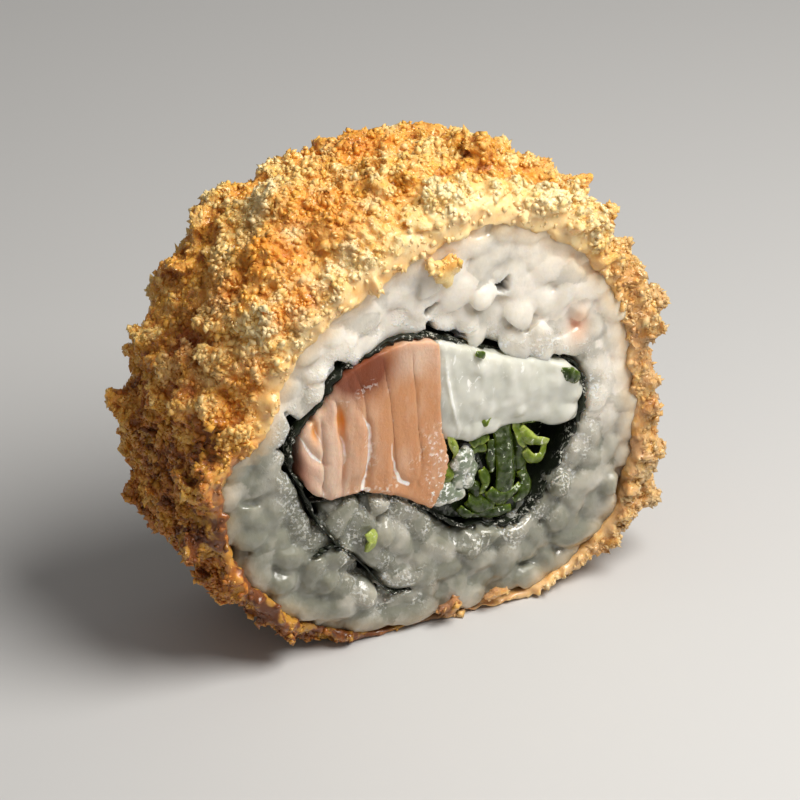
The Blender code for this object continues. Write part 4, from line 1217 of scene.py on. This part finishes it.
greens = {
    "steps": 26, "across": 9, "thickness": 0.34, "coreY": 7.2,
    # the core reaches the seaweed on its right, so no light comes through beside it: height and x there
    "wall": [(8.9, 8.6), (10.6, 11.0), (14.2, 13.4), (18.0, 15.4), (21.2, 16.2)],
    "wallReach": 0.35, "coreRight": 12.75, "coreLeftReach": 0.7,
    # each cut strip: its course (x, z, distance from the middle), half width, curl, and tone, dark to light
    "strips": [
        ([(7.3, 20.3, 8.2), (7.5, 17.0, 8.5), (7.7, 14.0, 8.5), (7.4, 11.2, 8.1)], 1.25, 1.9, 0.30),
        ([(8.7, 20.1, 8.2), (9.0, 18.5, 8.4), (9.6, 17.2, 8.3)], 0.55, 1.4, 0.65),
        ([(9.0, 19.4, 8.4), (9.9, 18.0, 8.7), (11.0, 17.3, 8.6), (11.9, 16.9, 8.4)], 0.60, 1.6, 0.85),
        ([(11.9, 16.7, 8.2), (11.4, 15.6, 8.5), (10.3, 15.6, 8.5), (9.6, 16.6, 8.2)], 0.55, 1.6, 0.75),
        ([(8.9, 18.6, 8.0), (9.3, 16.8, 7.9), (9.2, 15.0, 7.9), (9.6, 13.4, 7.8)], 0.75, 1.8, 0.35),
        ([(5.0, 15.9, 8.3), (5.3, 14.6, 8.6), (5.0, 13.3, 8.4)], 0.75, 2.4, 0.50),
        ([(3.4, 12.7, 8.1), (4.8, 11.8, 8.4), (6.2, 11.6, 8.3)], 0.95, 2.2, 0.30),
        ([(5.6, 13.3, 8.3), (6.4, 12.3, 8.6), (7.8, 12.2, 8.5), (9.2, 12.6, 8.2)], 0.75, 2.0, 0.38),
        ([(8.6, 11.0, 8.0), (9.7, 11.8, 8.3), (9.9, 13.2, 8.2), (9.4, 14.4, 8.0)], 0.65, 1.9, 0.30),
        ([(4.2, 10.9, 7.9), (6.0, 10.6, 8.2), (8.2, 10.4, 8.1)], 0.60, 1.7, 0.25),
        ([(0.9, 21.6, 8.3), (1.3, 20.2, 8.6), (1.9, 18.6, 8.5), (1.8, 17.6, 8.2)], 0.34, 1.3, 0.85),
        ([(1.6, 17.4, 8.2), (0.9, 16.3, 8.6), (0.4, 15.2, 8.3)], 0.48, 1.5, 0.75),
        ([(2.6, 16.6, 8.2), (1.8, 15.6, 8.5), (1.3, 14.9, 8.2)], 0.34, 1.3, 0.55),
        ([(3.6, 18.9, 8.3), (4.4, 19.5, 8.5), (5.5, 19.3, 8.3)], 0.48, 1.6, 0.60),
        ([(3.1, 17.9, 8.1), (4.2, 18.4, 8.3), (5.4, 17.9, 8.0)], 0.38, 1.3, 0.50),
        ([(9.2, 20.0, 8.3), (10.6, 20.2, 8.5), (12.2, 19.7, 8.3)], 0.38, 1.3, 0.40),
        ([(13.1, 24.6, 8.9), (14.1, 24.2, 9.3), (15.0, 23.4, 9.0)], 0.70, 1.2, 0.25),
        ([(3.7, 29.3, 8.9), (4.2, 29.1, 9.1), (4.6, 28.7, 8.9)], 0.34, 0.8, 0.40),
        ([(4.3, 21.4, 8.9), (4.8, 21.6, 9.1), (5.2, 21.9, 8.9)], 0.24, 0.8, 0.65),
        ([(-8.0, 13.1, 9.2), (-7.6, 12.2, 9.4), (-8.1, 11.0, 9.2)], 0.70, 0.9, 1.00),
        ([(6.2, 18.6, 7.9), (6.1, 16.9, 8.1), (6.4, 15.0, 7.9)], 0.55, 2.0, 0.25),
        ([(3.0, 14.8, 7.9), (4.0, 14.0, 8.2), (4.4, 12.8, 8.0)], 0.65, 1.9, 0.30),
        ([(6.4, 11.6, 7.7), (8.0, 13.6, 7.7), (8.8, 16.0, 7.7)], 0.90, 1.5, 0.15),
        ([(2.6, 11.9, 7.8), (3.4, 11.0, 8.1), (5.0, 10.4, 7.9)], 0.45, 1.5, 0.20),
    ],
    "seed": 12,
}
greensLook = {
    "leaf": [(0.0, (0.005, 0.010, 0.001)), (0.3, (0.018, 0.034, 0.002)), (0.6, (0.060, 0.10, 0.004)),
             (0.85, (0.16, 0.22, 0.012)), (1.0, (0.36, 0.43, 0.08))],
    # painted highlight colour for glints
    "wet": (0.75, 0.82, 0.62),
}


def stripShape(course, halfWidth, curl, side, rng):
    # a curved sheet of leaf that follows its course, with blunt ends and uneven edges
    steps, across = greens["steps"], greens["across"]
    line = smoothPath([(x, side * y, z) for x, z, y in course], 12)
    line = line[np.linspace(0, len(line) - 1, steps).round().astype(int)]
    along = unit(np.gradient(line, axis=0))
    roll = rng.normal(0, 0.25) + np.linspace(0, rng.normal(0, 0.3), steps)
    wide = unit(np.cross(along, np.array([0, side, 0.0])))
    up = np.cross(wide, along)
    cosine, sine = np.cos(roll)[:, None], np.sin(roll)[:, None]
    wide, up = wide * cosine + up * sine, up * cosine - wide * sine
    share = np.linspace(-1, 1, across)
    t = np.linspace(0, 1, steps)
    taper = 0.72 + 0.28 * np.sin(t * math.pi) + 0.08 * np.sin(t * 9 + rng.uniform(0, 6))
    angle = share * curl / 2
    reach = halfWidth / (curl / 2)
    flatX, flatY = reach * np.sin(angle), reach * (np.cos(angle) - 1)
    layers = []
    for offset in (greens["thickness"] / 2, -greens["thickness"] / 2):
        sideways = (flatX + offset * np.sin(angle))[None, :] * taper[:, None]
        rise = (flatY + offset * np.cos(angle))[None, :] * taper[:, None]
        layer = line[:, None] + wide[:, None] * sideways[:, :, None] + up[:, None] * rise[:, :, None]
        layers.append(layer.reshape(-1, 3))
    points = np.concatenate(layers)
    points += wanderAt(points, 0.9, 51) * 0.14
    # lighter along its edges and at its ends
    lightness = np.tile(np.abs(share) ** 3, steps * 2) * 0.35
    lightness += np.tile(np.repeat(np.abs(2 * t - 1) ** 8, across), 2) * 0.3
    return points, slabFaces(steps, across), lightness


def leafCore():
    # the leaf behind the strips, painted near black as the shade among them, widened to the seaweed on its
    # right and the salmon on its left
    points, faces = nodeShape("green_onion")
    points[:, 1] = np.clip(points[:, 1], -greens["coreY"], greens["coreY"])
    wall = np.interp(points[:, 2], *np.transpose(greens["wall"]))
    nearWall = easeStep(1.5 - (wall - points[:, 0]), 0, 0.8)
    points[:, 0] += easeStep(points[:, 0], 10.5, 12.3) * np.maximum(0, wall - greens["coreRight"])
    nearSalmon = easeStep(3.2 - points[:, 0], 0, 1.5)
    points[:, 0] += greens["wallReach"] * nearWall - greens["coreLeftReach"] * nearSalmon
    return points, faces


def makeGreens():
    rng = np.random.default_rng(greens["seed"])
    core = leafCore()
    # painted shade: the core's tone is near black
    shapes, tones = [core], [np.full(len(core[0]), 0.05)]
    for side in (-1, 1):
        for course, halfWidth, curl, tone in greens["strips"]:
            points, faces, lightness = stripShape(course, halfWidth, curl, side, rng)
            shapes.append((points, faces))
            tones.append(0.12 + tone * 0.85 + lightness)
    mesh = meshFromArrays("greens", *joinShapes(shapes))
    setMark(mesh, "tone", np.concatenate(tones))
    return mesh


def greensFinish():
    finish = Finish("onionLeaf")
    tone = finish.mark("tone") + (finish.noise(1.0, 3.0) - 0.5) * 0.6
    # painted highlight: pale glints on the wet leaf
    glints = finish.noise(0.5, 2.0, distortion=0.8).between(0.62, 0.68)
    glints = glints * finish.noise(2.5, 1.0).between(0.45, 0.6)
    colour = finish.blend(glints * 0.8, finish.ramp(tone, greensLook["leaf"]), greensLook["wet"])
    return finish.set(
        Base_Color=colour, Roughness=0.4, Specular_IOR_Level=0.2, Subsurface_Weight=0.2,
        Subsurface_Radius=(0.5, 1.0, 0.2), Subsurface_Scale=0.7 * mm,
        Coat_Weight=finish.noise(0.5, 2.0).between(0.35, 0.55), Coat_Roughness=0.06,
        Normal=finish.bump(finish.noise(0.45, 4.0, 0.6), 0.25, 0.8))


addPiece("onionLeaf", makeGreens(), greensFinish(), ["green_onion"])


# Camera, lights and floor

studio = {
    "azimuth": -29, "elevation": 30, "distance": 450,
    "aim": (0.45, 0, 20.6),
    "frameWidth": 77.2,  # mm seen across the frame at the aim
    # softboxes: place in metres, size, power
    "key": ((0.09, -0.11, 0.23), 0.18, 0.93),
    "fill": ((-0.5, -0.35, 0.25), 0.35, 0.09),
    "lightColour": (1.0, 0.97, 0.92), "lightAim": (0, 0, 0.02),
    "world": 0.20, "worldColour": (1.0, 0.975, 0.94, 1),
    "floorHalf": 1.5, "floorColour": (0.58, 0.58, 0.58),
}


def addCamera():
    azimuth, elevation = math.radians(studio["azimuth"]), math.radians(studio["elevation"])
    aim = Vector(studio["aim"]) * mm
    back = Vector((math.sin(azimuth) * math.cos(elevation), -math.cos(azimuth) * math.cos(elevation),
                   math.sin(elevation)))
    camera = bpy.data.cameras.new("camera")
    camera.sensor_width = 36
    camera.lens = camera.sensor_width * studio["distance"] / studio["frameWidth"]
    camera.clip_start = 0.01
    holder = placeInScene("camera", camera)
    holder.location = aim + back * studio["distance"] * mm
    holder.rotation_euler = back.to_track_quat("Z", "Y").to_euler()
    bpy.context.scene.camera = holder


def addSoftbox(name):
    place, size, power = studio[name]
    light = bpy.data.lights.new(name, "AREA")
    light.shape = "DISK"
    light.size = size
    light.energy = power
    light.color = studio["lightColour"]
    holder = placeInScene(name, light)
    holder.location = Vector(place)
    away = Vector(place) - Vector(studio["lightAim"])
    holder.rotation_euler = away.to_track_quat("Z", "Y").to_euler()


def addFloor():
    half = studio["floorHalf"]
    corners = [(-half, -half, 0), (half, -half, 0), (half, half, 0), (-half, half, 0)]
    mesh = meshFromArrays("floor", corners, [[0, 1, 2, 3]])
    mesh.materials.append(Finish("floor").set(Base_Color=studio["floorColour"], Roughness=0.55))
    floor = placeInScene("floor", mesh)


addCamera()
addFloor()
addSoftbox("key")
addSoftbox("fill")
world = bpy.data.worlds.new("studio")
world.use_nodes = True
background = world.node_tree.nodes["Background"]
background.inputs["Color"].default_value = studio["worldColour"]
background.inputs["Strength"].default_value = studio["world"]
bpy.context.scene.world = world
bpy.context.scene.view_settings.view_transform = "Standard"
